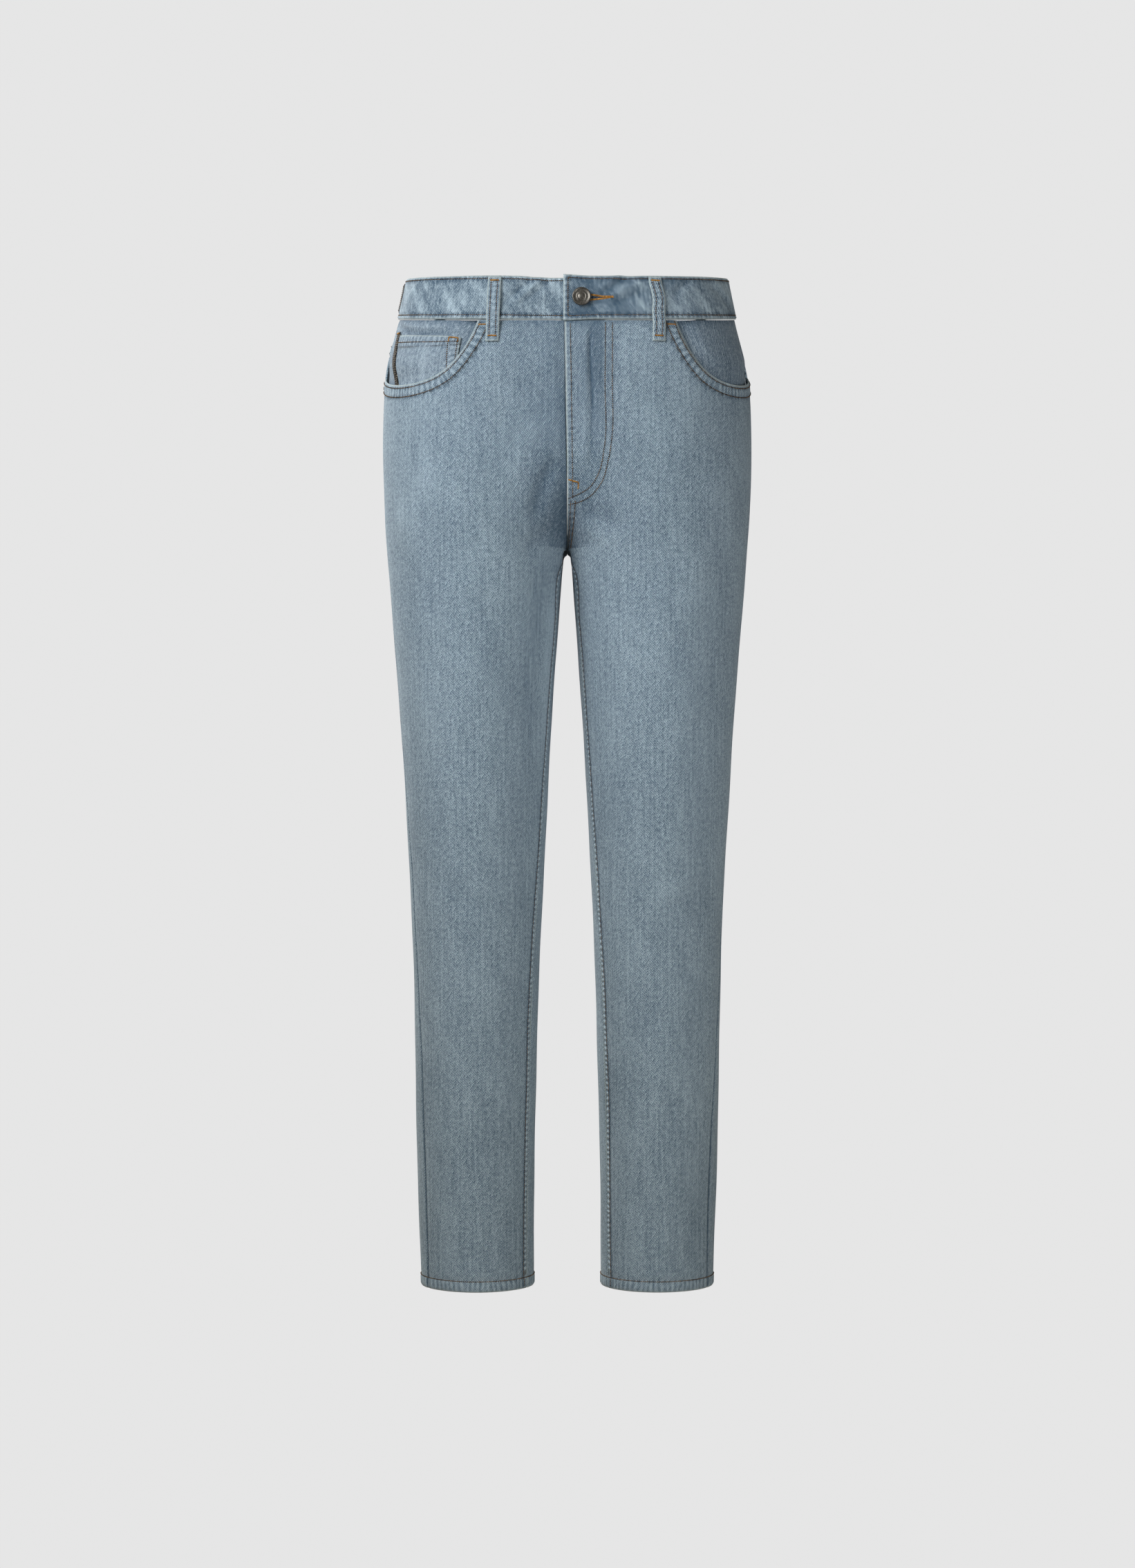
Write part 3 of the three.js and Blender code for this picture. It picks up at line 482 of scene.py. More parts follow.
def cut_piece(name, across, down, place, side=1, thickness=1.5, paints=(DENIM, DENIM_INSIDE), slot="denim",
              flat=None, area=None, held="hung", rests_on=()):
    """A cut piece of cloth, from a grid with lines at across and down. place takes the grid of both values
    and returns z, reach and mm out, and may add what is cut away, the share of the thickness, and the marks
    of the cloth: mm from its edge, mm along the edge, how much it puckers, and its painted shading."""
    columns, rows = len(across) - 1, len(down) - 1
    u, v = np.meshgrid(np.asarray(across, float), np.asarray(down, float), indexing="ij")
    facts = place(u, v)
    z, reach, out = facts["z"], facts["reach"], facts["out"]
    sides = np.broadcast_to(facts.get("side", side), u.shape)
    points = cloth(sides, z, reach, out).reshape(-1, 3)
    bm = bmesh.new()
    bmesh.ops.create_grid(bm, x_segments=columns, y_segments=rows, size=1)
    index = [
        int(round((vert.co.x + 1) / 2 * columns)) * (rows + 1) + int(round((vert.co.y + 1) / 2 * rows))
        for vert in bm.verts
    ]
    for vert, k in zip(bm.verts, index):
        vert.co = points[k]
    for label, plain in (("edge", 50.0), ("along", z), ("pucker", 0.0), ("tone", 0.0)):
        # the painted shading also gets the painted shade and highlights of the creases: darker in troughs,
        # paler on ridges
        value = facts.get(label, plain) + (0.3 * relief(sides, z, reach) if label == "tone" else 0)
        value = np.broadcast_to(value, u.shape).reshape(-1)
        layer = bm.verts.layers.float.new(label)
        for vert, k in zip(bm.verts, index):
            vert[layer] = value[k]
    if "plies" in facts:
        plies = facts["plies"].reshape(-1)
        layer = bm.verts.layers.deform.verify()
        for vert, k in zip(bm.verts, index):
            vert[layer][0] = plies[k]
    flat_map = (np.stack([facts.get("across", -sides * reach), z], -1) * 0.001).reshape(-1, 2)
    uv = bm.loops.layers.uv.new("cloth")
    bm.verts.index_update()
    for face in bm.faces:
        for loop in face.loops:
            loop[uv].uv = flat_map[index[loop.vert.index]]
    if "gone" in facts:
        gone = facts["gone"].reshape(-1)
        bmesh.ops.delete(bm, geom=[vert for vert, k in zip(bm.verts, index) if gone[k]], context="VERTS")
    bm.normal_update()
    middle = (columns // 2) * (rows + 1) + rows // 2
    inner = cloth(sides, z, reach, out - 1).reshape(-1, 3)[middle]
    nearest = min(bm.faces, key=lambda face: (face.calc_center_median() - Vector(points[middle])).length)
    if nearest.normal.dot(Vector(inner - points[middle])) > 0:
        bmesh.ops.reverse_faces(bm, faces=bm.faces)
    piece = make_piece(name, bm, *paints)
    wall = piece.modifiers.new("cloth", "SOLIDIFY")
    wall.thickness = thickness * 0.001
    wall.offset = -1
    wall.material_offset = len(paints) - 1
    if "plies" in facts:
        piece.vertex_groups.new(name="plies")
        wall.vertex_group = "plies"
    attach(piece, "root")
    return piece


def thread(name, dark, light):
    """Twisted sewing thread, whose colour changes a little from stitch to stitch."""
    paint, shader, shade = new_material(name, 0.7, specular=0.3)
    patchy = shade.texture("Noise", 420.0, Detail=1.0)
    twist = shade.texture("Wave", 900.0, {"bands_direction": "DIAGONAL"})
    (patchy.step(0.40, 0.62) * 0.8 + twist * 0.2).blend(dark, light).feed(shader, "Base Color")
    twist.emboss(shader, 0.5, 0.0002)
    return paint


BROWN_THREAD = thread("thread_brown", (0.022, 0.014, 0.010, 1), (0.20, 0.135, 0.08, 1))
ORANGE_THREAD = thread("thread_orange", (0.24, 0.105, 0.020, 1), (0.53, 0.28, 0.065, 1))


LOCKSTITCH = (1.85, 1.6, 1.2, False)  # pitch, length and width, mm, and whether it lies across the row


def run_along(line):
    return np.append(0, np.cumsum(np.linalg.norm(np.diff(line, axis=0), axis=1)))


def sew(name, rows, paint=BROWN_THREAD):
    """Rows of stitches, each one a small bead of thread half sunk in the cloth. A row gives side, z, reach
    and mm out along its line, and may give the gauge of its stitches."""
    bm = bmesh.new()
    for side, z, reach, out, *gauge in rows:
        pitch, length, width, turned = gauge or LOCKSTITCH
        z, reach, out = arrays(z, reach, out)
        line, above = cloth(side, z, reach, out), cloth(side, z, reach, out + 1)
        run = run_along(line)
        count = max(int(round(run[-1] * 1000 / pitch)), 1)
        at = (np.arange(count) + 0.5) / count * run[-1]
        spots, ups, ways = (
            np.stack([np.interp(at, run, part[:, k]) for k in range(3)], 1)
            for part in (line, above - line, np.gradient(line, axis=0))
        )
        for spot, up, way in zip(spots, ups, ways):
            up, way = Vector(up).normalized(), Vector(way)
            way = (way - up * way.dot(up)).normalized()
            way = (way + up.cross(way) * 0.16).normalized()
            beside = up.cross(way)
            if turned:
                way, beside = beside, -way
            size = Matrix((way * length / 2000, beside * width / 2000, up * width / 2300))
            matrix = Matrix.Translation(spot) @ size.transposed().to_4x4()
            bmesh.ops.create_icosphere(bm, subdivisions=1, radius=1, matrix=matrix)
    piece = make_piece(name, bm, paint)
    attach(piece, "root")


def tack(row, width=2.0):
    """A row as a bar tack: close stitches of this width across it."""
    return (*row, 0.62, width, 0.72, True)


def bar(side, z_a, reach_a, z_b, reach_b, out, width=2.0):
    t = np.linspace(0, 1, 12)
    return tack((side, z_a + (z_b - z_a) * t, reach_a + (reach_b - reach_a) * t, out + 0.1), width)


def spaced(length, step, fine=(0.7, 1.7, 3.2)):
    """Grid lines from 0 to length, closer together at both ends."""
    count = max(int(round((length - 2 * fine[-1]) / step)), 1)
    middle = np.linspace(fine[-1], length - fine[-1], count + 1)
    return np.concatenate([[0], fine[:-1], middle, length - np.array(fine[-2::-1]), [length]])


def side_seam(side, z):
    return read(SEAMS, 1 if side == RIGHT else 2, np.minimum(z, 0))


def inseam(z):
    return read(SEAMS, 3, z)


def plane_height(level, rise, reach):
    """Height where the cloth at this reach crosses a plane that rises towards the back."""
    reach = np.asarray(reach, float)
    z = np.full(reach.shape, level, float)
    for _ in range(6):
        z = level + rise * look_up(TORSO, TORSO_HEIGHTS, z, reach)[0][..., 1]
    return z


def band_foot(reach, drop=0.0):
    return plane_height(-37.6 - drop, 0.154, reach)


def reach_at_x(z, x, facing):
    """Reach of the points at x on the front (-1) or back (1) of the sections at heights z."""
    z, x = arrays(z, x)
    found = np.empty(z.shape)
    ways = REACHES[REACHES >= 0] if facing < 0 else REACHES[REACHES <= 0][::-1]
    for k in np.ndindex(z.shape):
        line = look_up(TORSO, TORSO_HEIGHTS, np.full(len(ways), z[k]), ways)[0][:, 0]
        found[k] = np.interp(-x[k], -line, ways)
    return found


# The scooped pocket mouths, as curves from the side seam to the waist seam.
SCOOPS = {
    RIGHT: ((-94, 62, -114), (141, 3, -122)),
    LEFT: ((-91, 63, -112), (121.5, 6, -124)),
}


def scoop_frame(side):
    """A pocket mouth's line of reach and z, its direction, and mm along it."""
    (side_z, side_handle, side_handle_z), (end, end_handle, end_handle_z) = SCOOPS[side]
    start = float(side_seam(side, side_z))
    p0, p1 = np.array([start, side_z]), np.array([start + side_handle, side_handle_z])
    p2, p3 = np.array([end + end_handle, end_handle_z]), np.array([end, float(band_foot(end, GAP))])
    t = np.linspace(0, 1, 400)[:, None]
    line = (1 - t) ** 3 * p0 + 3 * (1 - t) ** 2 * t * p1 + 3 * (1 - t) * t ** 2 * p2 + t ** 3 * p3
    tangent = np.gradient(line, axis=0)
    tangent /= np.linalg.norm(tangent, axis=1, keepdims=True)
    return line, tangent, run_along(line)


SCOOP_LINES = {side: scoop_frame(side) for side, _ in SIDES}


def from_scoop(side, z, reach):
    """mm from the pocket mouth, + in the opening, mm along it, and its nearest point's reach and z."""
    line, tangent, run = SCOOP_LINES[side]
    signed, along = np.full(z.shape, -99.0), np.zeros(z.shape)
    near_reach, near_z = reach.copy(), z.copy()
    for k in zip(*np.nonzero((z > -150) & (reach < 178) & (reach > -14))):
        off = np.array([reach[k], z[k]]) - line
        i = np.argmin((off ** 2).sum(1))
        inward = tangent[i, 0] * off[i, 1] - tangent[i, 1] * off[i, 0]
        signed[k] = math.copysign(np.linalg.norm(off[i]), inward)
        along[k], near_reach[k], near_z[k] = run[i], line[i, 0], line[i, 1]
    return signed, along, near_reach, near_z


def beside_scoop(side, distance):
    """z and reach of a line in the panel, this many mm outside the pocket mouth."""
    line, tangent, _ = SCOOP_LINES[side]
    at = line + distance * np.stack([tangent[:, 1], -tangent[:, 0]], 1)
    keep = (at[:, 0] > side_seam(side, at[:, 1]) + 0.8) & (at[:, 1] < band_foot(at[:, 0], 1.2))
    return at[keep, 1], at[keep, 0]


def spread(start, end, z, part):
    """A panel's column: close to the crotch only its last columns take up the width of the inner thigh."""
    length = end(z) - start(z)
    above = np.full(z.shape, CROTCH + 0.1)
    even = end(above) - start(above)
    even = even + (length - even) * ramp((CROTCH - z) / 110)
    in_leg = start(z) + part * even + (length - even) * part ** 14
    return np.where(z > CROTCH, start(z) + part * length, in_leg)


LEG_LINES = np.concatenate([
    CROTCH - np.array([0.5, 1.2, 2.2, 4, 6.5, 9.5]), np.arange(CROTCH - 13, HEM + 14.5, -3.4),
    HEM + np.array([12.5, 11.5, 10.7, 10, 9, 7.5, 5.5, 3.5, 1.8, 0.7, 0]),
])
HEM_PLIES = 3.2
HEM_ROW = 10.0
INSEAM_ROW = 5.8
MOUTH_ROWS = (2.9, 11.2)


def hem_level(z):
    """mm out at the turned-up hem, which swells below its stitches, and the wall's share of HEM_PLIES."""
    below = ramp((HEM + 10.5 - z) / 2.5)
    level = 0.75 * below - 0.9 * ramp((HEM + 1.6 - z) / 1.6) - 0.35 * hump(z - HEM, 10.6, 1.1)
    return level, np.where(z < HEM + 11.2, 1.0, 1.5 / HEM_PLIES)


FRONT_GRID, BACK_GRID = 170, 250  # what the columns of the front and the back panels count up to
TORSO_LINES = (0.004, 0.01, 0.018)


def fly_lap(z):
    return 2.6 * np.clip((z + 202) / (202 - 37.6), 0, 1.1)


def grain_line(z, facing):
    """Reach of the middle of the leg, which the warp of a front (-1) or back (1) panel follows."""
    ways = np.sort(np.abs(REACHES[(REACHES * facing <= 0) & (np.abs(REACHES) < 190)]))
    lines = []
    for table, heights in ((TORSO, TORSO_HEIGHTS), (LEG, LEG_HEIGHTS)):
        columns = np.searchsorted(REACHES, -facing * ways)
        at = [-facing * np.interp(-86, -row[columns, 0], ways) for row in table[0]]
        lines.append(np.interp(-z, -heights, at))
    return np.where(z > CROTCH, *lines)


def front_start(side):
    return lambda z: side_seam(side, z) + GAP / 2


def front_finish(side):
    def finish(z):
        lap = fly_lap(z)
        above = front_end(z) + (lap if side == LEFT else -lap - GAP * (lap > 0))
        return np.where(z > CROTCH, above, front_end(z) - inseam(z) - GAP / 2)
    return finish


def fly_form(z, middle):
    """mm out and painted shading of the fly: a ridge over the zip with a painted highlight, a sharp trough
    beside it with painted shade, and darker blue beyond it.
    """
    length = ramp((-z - 56) / 18) * ramp((198 + z) / 26)
    ridge = ramp((20.5 - middle) / 3.2)
    trough = hump(middle + 1.2 * np.sin(z / 17), 21.5, 1.4) * (0.2 + 0.8 * ramp((160 + z) / 50))
    beyond = ramp((middle - 20) / 3) * ramp((35 - middle) / 5) * ramp((150 + z) / 70 + 0.25)
    out = length * (1.05 * ridge - 1.5 * trough) + 0.3 * ramp((40 - middle) / 3) * ramp((212 + z) / 8)
    return out, length * (0.4 * ridge - 1.9 * trough) - 0.75 * beyond


def front_panel(side, word):
    start, finish = front_start(side), front_finish(side)

    def place(u, v):
        z, part = v.copy(), u / FRONT_GRID
        guess = np.full(z.shape, -54.0)
        waist = band_foot(start(guess) + part * (finish(guess) - start(guess)), GAP)
        z = np.where(v >= 0, CROTCH + (waist - CROTCH) * v, v)
        reach = spread(start, finish, z, part)
        signed, along, near_reach, near_z = from_scoop(side, z, reach)
        gone = signed > 1.3
        snap = (grow(gone) & ~gone) | ((signed > 0) & ~gone)
        reach, z = np.where(snap, near_reach, reach), np.where(snap, near_z, z)
        mouth, fly, outer, hem = -np.where(snap, 0, signed), finish(z) - reach, reach - start(z), z - HEM
        middle, above = front_end(z) - reach, z > CROTCH
        below_band, seam = np.where(above, waist - z, 90.0), np.where(above, 90.0, fly)
        lap_edge = np.where(above, fly + (0 if side == LEFT else 4), 90)
        from_crotch, on_leg = np.hypot(middle, (z - CROTCH) * 0.55), ramp((-z - 290) / 60)
        out, plies = hem_level(z)
        # rounded edges, the turned mouth with its two sewn grooves, and the raised inseam
        out = (
            out - 0.8 * fade(np.minimum(outer, np.where(above, 9, fly)), 1.8) - 0.9 * fade(below_band, 3.5)
            + 0.55 * ramp((13 - mouth) / 3) - 0.25 * hump(mouth, 2.8, 0.8) - 0.35 * hump(mouth, 11.2, 1.1)
            - 0.7 * snap + 0.35 * ramp((6.6 - seam) / 1.4)
        )
        # painted shading: painted shadow under the band, darker and bluer beside the fly, painted shade at
        # the crotch, in the sewn grooves of the mouth and just beyond its outer row, and in the seams and
        # their sewn grooves, pale along the inseam, and a painted highlight beside the outseam
        tone = (
            -0.7 * fade(below_band, 9) - 0.3 * ramp((18 - mouth) / 5) * (mouth > 12)
            - 0.6 * above * ramp((60 - middle) / 50) - 1.2 * hump(from_crotch, 0, 26)
            - 1.3 * hump(mouth, 2.9, 0.9) - 1.5 * hump(mouth, 11.6, 1.1)
            - 3.0 * hump(seam, 0.5, 1.6) + 1.5 * ramp((seam - 1.8) / 0.8) * ramp((5.2 - seam) / 0.8)
            - 2.0 * hump(seam, 6.4, 1.4) + on_leg * (0.8 * hump(outer, 2.9, 0.9) - 2.4 * hump(outer, 0, 1.6))
        )
        if side == RIGHT:
            out = out - 1.5 * ramp((z - CROTCH) / 40 - 0.25) * above * fade(middle, 14)
            # painted shadow beneath the fly's lap
            tone = tone - 0.9 * above * fade(middle, 9) * ramp((-z - 60) / 60)
            # painted light on the inner thigh just below the crotch
            tone = tone + ~above * ramp((40 - fly) / 26) * ramp((z + 520) / 130) * ramp((-275 - z) / 50)
        else:
            fly_out, fly_shading = fly_form(z, middle)
            out = out + (fly_out - 0.9 * fade(fly, 1.6) + 0.35 * ramp((7 - fly) / 3)) * above
            tone = tone + fly_shading * above
        pucker = most(
            ramp((mouth - 1.6) / 1.2) * ramp((12.2 - mouth) / 1.6), 0.8 * ramp((12 - hem) / 2),
            1.7 * ramp((6.6 - seam) / 1.2) * ramp((seam - 0.6) / 0.8),
            (0.5 if side == LEFT else 0.0) * ramp((10 - lap_edge) / 3),
        )
        return dict(z=z, reach=reach, out=out, gone=gone, plies=plies, pucker=pucker, tone=tone,
                    across=-side * (reach - grain_line(z, -1)),
                    along=np.where(hem < 14, reach, np.where(mouth < 14.5, along, z)),
                    edge=least(mouth, lap_edge, seam + 2.0, outer + 2.0, hem))

    torso = spaced(1.0, 0.0128, TORSO_LINES)[::-1]
    by_inseam = np.append(np.arange(113, 168.6, 1.15), (169.2, 169.65, FRONT_GRID))
    columns = np.append(spaced(FRONT_GRID, 2.7)[:-24], by_inseam)
    return cut_piece("panel_front_" + word, columns, np.append(torso, LEG_LINES), place, side, HEM_PLIES,
                     flat=(0.285, 0.895), area=0.17, rests_on=["waistband"])


def back_start(side):
    return lambda z: side_seam(side, z) - GAP / 2


def back_finish(z):
    return -back_end(z) - np.where(z <= CROTCH, inseam(z) - GAP / 2, 0)


def yoke_seam(part):
    """Height of the yoke's seam, this part of the way from the side seam to the middle of the back."""
    return -72 - 16 * part


def back_panel(side, word):
    start = back_start(side)

    def place(u, v):
        z, part = v.copy(), u / BACK_GRID
        top = yoke_seam(part) - GAP
        z = np.where(v >= 0, CROTCH + (top - CROTCH) * v, v)
        reach = spread(start, back_finish, z, part)
        outer, inner, hem, above = start(z) - reach, reach - back_finish(z), z - HEM, z > CROTCH
        yoke, seat = np.where(above, top - z, 90), np.where(above, inner, 90)
        out, plies = hem_level(z)
        out = out - 0.8 * fade(least(outer, inner, yoke), 1.8)
        return dict(z=z, reach=reach, out=out, plies=plies, across=-side * (reach - grain_line(z, 1)),
                    edge=least(outer + 2.0, inner + 0.3, hem, yoke + 1.0),
                    along=np.where((hem < 14) | (yoke < 9), reach, z),
                    # painted shade line in the outseam of the leg
                    tone=-2.2 * ramp((-z - 290) / 60) * hump(outer, 0, 1.2),
                    pucker=most(
                        0.8 * ramp((12 - hem) / 2), 0.5 * ramp((10 - seat) / 3), 0.4 * ramp((8 - yoke) / 2),
                    ))

    torso = spaced(1.0, 0.0145, TORSO_LINES)[::-1]
    return cut_piece("panel_back_" + word, spaced(BACK_GRID, 3.2), np.append(torso, LEG_LINES), place, side,
                     HEM_PLIES, flat=(0.36, 0.875), area=0.21, rests_on=["waistband"])


for side, word in SIDES:
    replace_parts(front_panel(side, word), "front_" + word)
    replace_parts(back_panel(side, word), "back_" + word)
    mouth_rows = [(side, *beside_scoop(side, distance), 0.55) for distance in MOUTH_ROWS]
    leg = np.linspace(CROTCH - 6, HEM + 2, 340)
    inseam_row = (side, leg, front_finish(side)(leg) - INSEAM_ROW, hem_level(leg)[0] + 0.15)
    sew("stitches_front_" + word, [*mouth_rows, inseam_row])
    hem_z = HEM + HEM_ROW
    ends = (
        (front_start(side)(hem_z), front_finish(side)(hem_z)), (back_start(side)(hem_z), back_finish(hem_z)),
    )
    sew("stitches_hem_" + word, [
        (side, np.full(200, hem_z), np.linspace(float(begin), float(end), 200), 0.35) for begin, end in ends
    ])

# Fly topstitching: a row along the lapped edge, the curved double row that holds the zip's facing, and the
# two rows of the crotch seam below it.
FLY_CURVES = (
    ((41, -56), (40.8, -110), (40.3, -162), (37.2, -181), (31, -201), (20.4, -213), (9.1, -218), (0.9, -219)),
    ((34.7, -56), (34.2, -110), (33.4, -171), (28.8, -192), (20.3, -205), (9.4, -211), (0.9, -214)),
)


def through(corners, count=160):
    """A smooth line through corner points, as two arrays."""
    corners = np.array(corners, float)
    run = run_along(corners)
    at = np.linspace(0, run[-1], count)
    slope = np.gradient(corners, run, axis=0)
    i = np.clip(np.searchsorted(run, at, side="right") - 1, 0, len(run) - 2)
    step = (run[i + 1] - run[i])[:, None]
    t = (at - run[i])[:, None] / step
    return ease(corners[i], corners[i + 1], slope[i], slope[i + 1], step, t).T


def on_fly(x, z):
    reach = reach_at_x(z, x, -1)
    return LEFT, z, reach, fly_form(z, front_end(z) - reach)[0] + 0.2


fly_rows = [on_fly(*through(curve)) for curve in FLY_CURVES]
fly_z = np.linspace(-57, -214, 80)
fly_rows.append(on_fly(5.1 - fly_lap(fly_z), fly_z))
crotch_z = np.linspace(-216, CROTCH + 1, 20)
fly_rows += [(LEFT, crotch_z, front_end(crotch_z) - across, 0.25) for across in (3.4, 8.2)]
sew("stitches_fly", fly_rows)
fly_tack_reach = [float(reach_at_x(-199.0, x, -1)) for x in (1.0, 10.5)]
sew("tacks_fly", [
    bar(LEFT, -197.6, fly_tack_reach[0], -200.2, fly_tack_reach[1], 0.5),
    bar(LEFT, -200.5, fly_tack_reach[1], -206.0, fly_tack_reach[1], 0.4, 1.5),
], ORANGE_THREAD)

# Yokes: the two shaped pieces that fit the seat to the waist, felled to the back panels below.
YOKE_WIDTH, YOKE_HEIGHT = 170, 40

for side, word in SIDES:
    def place(u, v, side=side):
        part = u / YOKE_WIDTH
        z = np.full(u.shape, -60.0)
        for _ in range(3):
            reach = (side_seam(side, z) - GAP / 2) * (1 - part) - back_end(z) * part
            top = band_foot(reach, GAP)
            z = top + (yoke_seam(part) - top) * v / YOKE_HEIGHT
        outer, inner = u * 1.05, (YOKE_WIDTH - u) * 1.05
        foot, below_band = z - yoke_seam(part), top - z
        out = 0.6 * ramp((10 - foot) / 3) - 0.7 * fade(least(outer, inner, foot), 1.8)
        return dict(z=z, reach=reach, out=out - 0.9 * fade(below_band, 3.5), along=reach,
                    edge=least(outer + 2, inner + 0.8, foot),
                    # painted shadow under the band
                    pucker=0.8 * ramp((10 - foot) / 2), tone=-0.7 * fade(below_band, 9))

    piece = cut_piece("yoke_piece_" + word, spaced(YOKE_WIDTH, 3.0), spaced(YOKE_HEIGHT, 2.6), place, side,
                      flat=(0.07, 0.21), area=0.0125, rests_on=["waistband"])
    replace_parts(piece, "yoke_" + word)
    part = np.linspace(0.01, 0.99, 160)
    yoke_rows = []
    for rise in (2.4, 8.6):
        z = yoke_seam(part) + rise
        yoke_rows.append((side, z, side_seam(side, z) * (1 - part) - back_end(z) * part, 0.6))
    seat_z = np.linspace(-90, CROTCH + 1, 120)
    if side == RIGHT:
        yoke_rows += [(side, seat_z, across - back_end(seat_z), 0.05) for across in (2.6, 8.8)]
    sew("stitches_seat_" + word, yoke_rows)

# Pocket facings: denim seen inside each scooped mouth, sewn to the pocket bag beneath the front panel.
DENIM_FACING = denim("denim_facing", (0.070, 0.115, 0.170, 1), (0.50, 0.61, 0.70, 1), 0.34)
FACING_WIDTH, FACING_HEIGHT = 150, 70
FACING = dict(thickness=1.2, paints=(DENIM_FACING, DENIM_INSIDE), slot="facing_denim", held="laid")


def facing_level(side, z, reach):
    """The facing lies beneath the front panel at the pocket mouth and comes level with it inside."""
    signed = from_scoop(side, z, reach)[0]
    return np.where(signed < 1, -3.9, -3.9 + 3.2 * ramp((signed - 2) / 20))


for side, word in SIDES:
    def place(u, v, side=side):
        seam = side_seam(side, -60.0)
        reach = seam + GAP / 2 + (SCOOPS[side][1][0] + 8 - seam) * u / FACING_WIDTH
        top = band_foot(reach, GAP)
        z = top + (-122 - top) * v / FACING_HEIGHT
        signed = from_scoop(side, z, reach)[0]
        # painted shading: painted shadow under the band and under the edge of the pocket mouth, and painted
        # shade over the whole recessed facing, deeper on the left one
        tone = -0.8 * fade(top - z, 7) - 1.0 * fade(signed + 1, 7) - (0.6 if side == LEFT else 0.25)
        return dict(z=z, reach=reach, out=facing_level(side, z, reach), gone=signed < -8, tone=tone,
                    edge=np.minimum(u, 50) + 1.6)

    columns, rows = spaced(FACING_WIDTH, 3.0), spaced(FACING_HEIGHT, 2.6)
    piece = cut_piece("facing_" + word, columns, rows, place, side, **FACING,
                      flat=(0.15, 0.075), area=0.0075, rests_on=["waistband"])
    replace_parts(piece, "pocket_facing_" + word)

# Coin pocket: a small patch pocket on the wearer's right facing, its mouth hemmed and its free side sewn
# down with two rows, its foot tucked beneath the pocket mouth.
COIN_WIDTH, COIN_HEIGHT = 85, 45
TAPE_ENDS = ((42, -56), (57, -104))


def tape_reach(z):
    (reach_a, z_a), (reach_b, z_b) = TAPE_ENDS
    return reach_a + (reach_b - reach_a) * (z - z_a) / (z_b - z_a)


def coin_place(u, v):
    part = u / COIN_WIDTH
    top = -58.5 - 10 * part
    line = SCOOP_LINES[RIGHT][0]
    foot = np.interp(54 + 77 * part, line[:, 0], line[:, 1]) - 3.5
    z = top + (foot - top) * v / COIN_HEIGHT
    reach = (tape_reach(z) - 1) * (1 - part) + (131 + 3.5 * (z + 68.5) / -25) * part
    mouth, free = v * 0.95, COIN_WIDTH - u
    out = facing_level(RIGHT, z, reach) + 1.35 + 0.5 * ramp((11 - mouth) / 2.5) + 0.3 * ramp((10 - free) / 2)
    edge = np.minimum(mouth, free)
    return dict(z=z, reach=reach, out=out - 0.6 * fade(edge, 1.4), edge=edge,
                along=np.where(mouth < 10, reach, z),
                pucker=0.6 * np.maximum(ramp((10.5 - mouth) / 2), ramp((10 - free) / 2)))


coin_columns, coin_rows = spaced(COIN_WIDTH, 2.4), spaced(COIN_HEIGHT, 2.2)
coin = cut_piece("coin_patch", coin_columns, coin_rows, coin_place, RIGHT, **FACING,
                 flat=(0.085, 0.045), area=0.0032, rests_on=["facing_right"])
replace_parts(coin, "coin_pocket")


def on_piece(place, side, u, v, lift=0.2):
    """A row of stitches in a piece's own grid."""
    u, v = arrays(u, v)
    facts = place(u[:, None], v[:, None])
    z, reach, out = (np.broadcast_to(facts[key], (len(u), 1))[:, 0] for key in ("z", "reach", "out"))
    return side, z, reach, out + lift


def on_coin(u, v, lift=0.2):
    return on_piece(coin_place, RIGHT, np.linspace(*u), np.linspace(*v), lift)


sew("stitches_coin", [
    on_coin((3, 84, 60), (6.4, 6.4, 60)), on_coin((82.4, 82.4, 40), (0.5, 42, 40)),
    on_coin((73.8, 73.8, 40), (1, 42, 40)),
])
sew("tacks_coin", [tack(on_coin((a, b, 8), (c, d, 8), 0.3), 1.7) for a, b, c, d in (
    (74, 83, 1.6, 1.6), (74, 74, 2, 7), (82.6, 82.6, 2, 7), (0.5, 0.5, 0.5, 6),
)], ORANGE_THREAD)

# Side tape: a narrow woven strip, black with pale flecks, caught in beside the coin pocket.
TAPE_WIDTH, TAPE_LENGTH = 8, 52
TAPE, tape_shader, shade = new_material("tape", 0.85)
u, v = cloth_uv(shade)
weave = ((u * 2600.0).sine() + (v * 3100.0 + u * 2600.0).sine()) * 0.35 + shade.noise(u, v, 900.0) * 0.8
weave.step(0.66, 0.95).blend((0.010, 0.009, 0.008, 1), (0.27, 0.23, 0.18, 1)).feed(tape_shader, "Base Color")
weave.emboss(tape_shader, 0.6, 0.0004)


def tape_place(u, v):
    z = -56 - v
    reach = tape_reach(z) + (u - TAPE_WIDTH / 2) * 0.95
    out = facing_level(RIGHT, z, reach) + 2.5 - 0.4 * fade(np.minimum(u, TAPE_WIDTH - u), 1.2)
    return dict(z=z, reach=reach, out=out)


tape_columns = spaced(TAPE_WIDTH, 1.2, (0.5, 1.0))
tape_rows = spaced(TAPE_LENGTH, 1.5)
tape = cut_piece("tape_strip", tape_columns, tape_rows, tape_place, RIGHT, 0.8, (TAPE,), "tape",
                 (0.01, 0.055), 0.00045, "laid", ["facing_right"])
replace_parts(tape, "side_tape")
tape_tack = on_piece(tape_place, RIGHT, np.linspace(0.5, 7.5, 8), 1.2, 0.3)
sew("tacks_tape", [tack(tape_tack, 1.8)], ORANGE_THREAD)

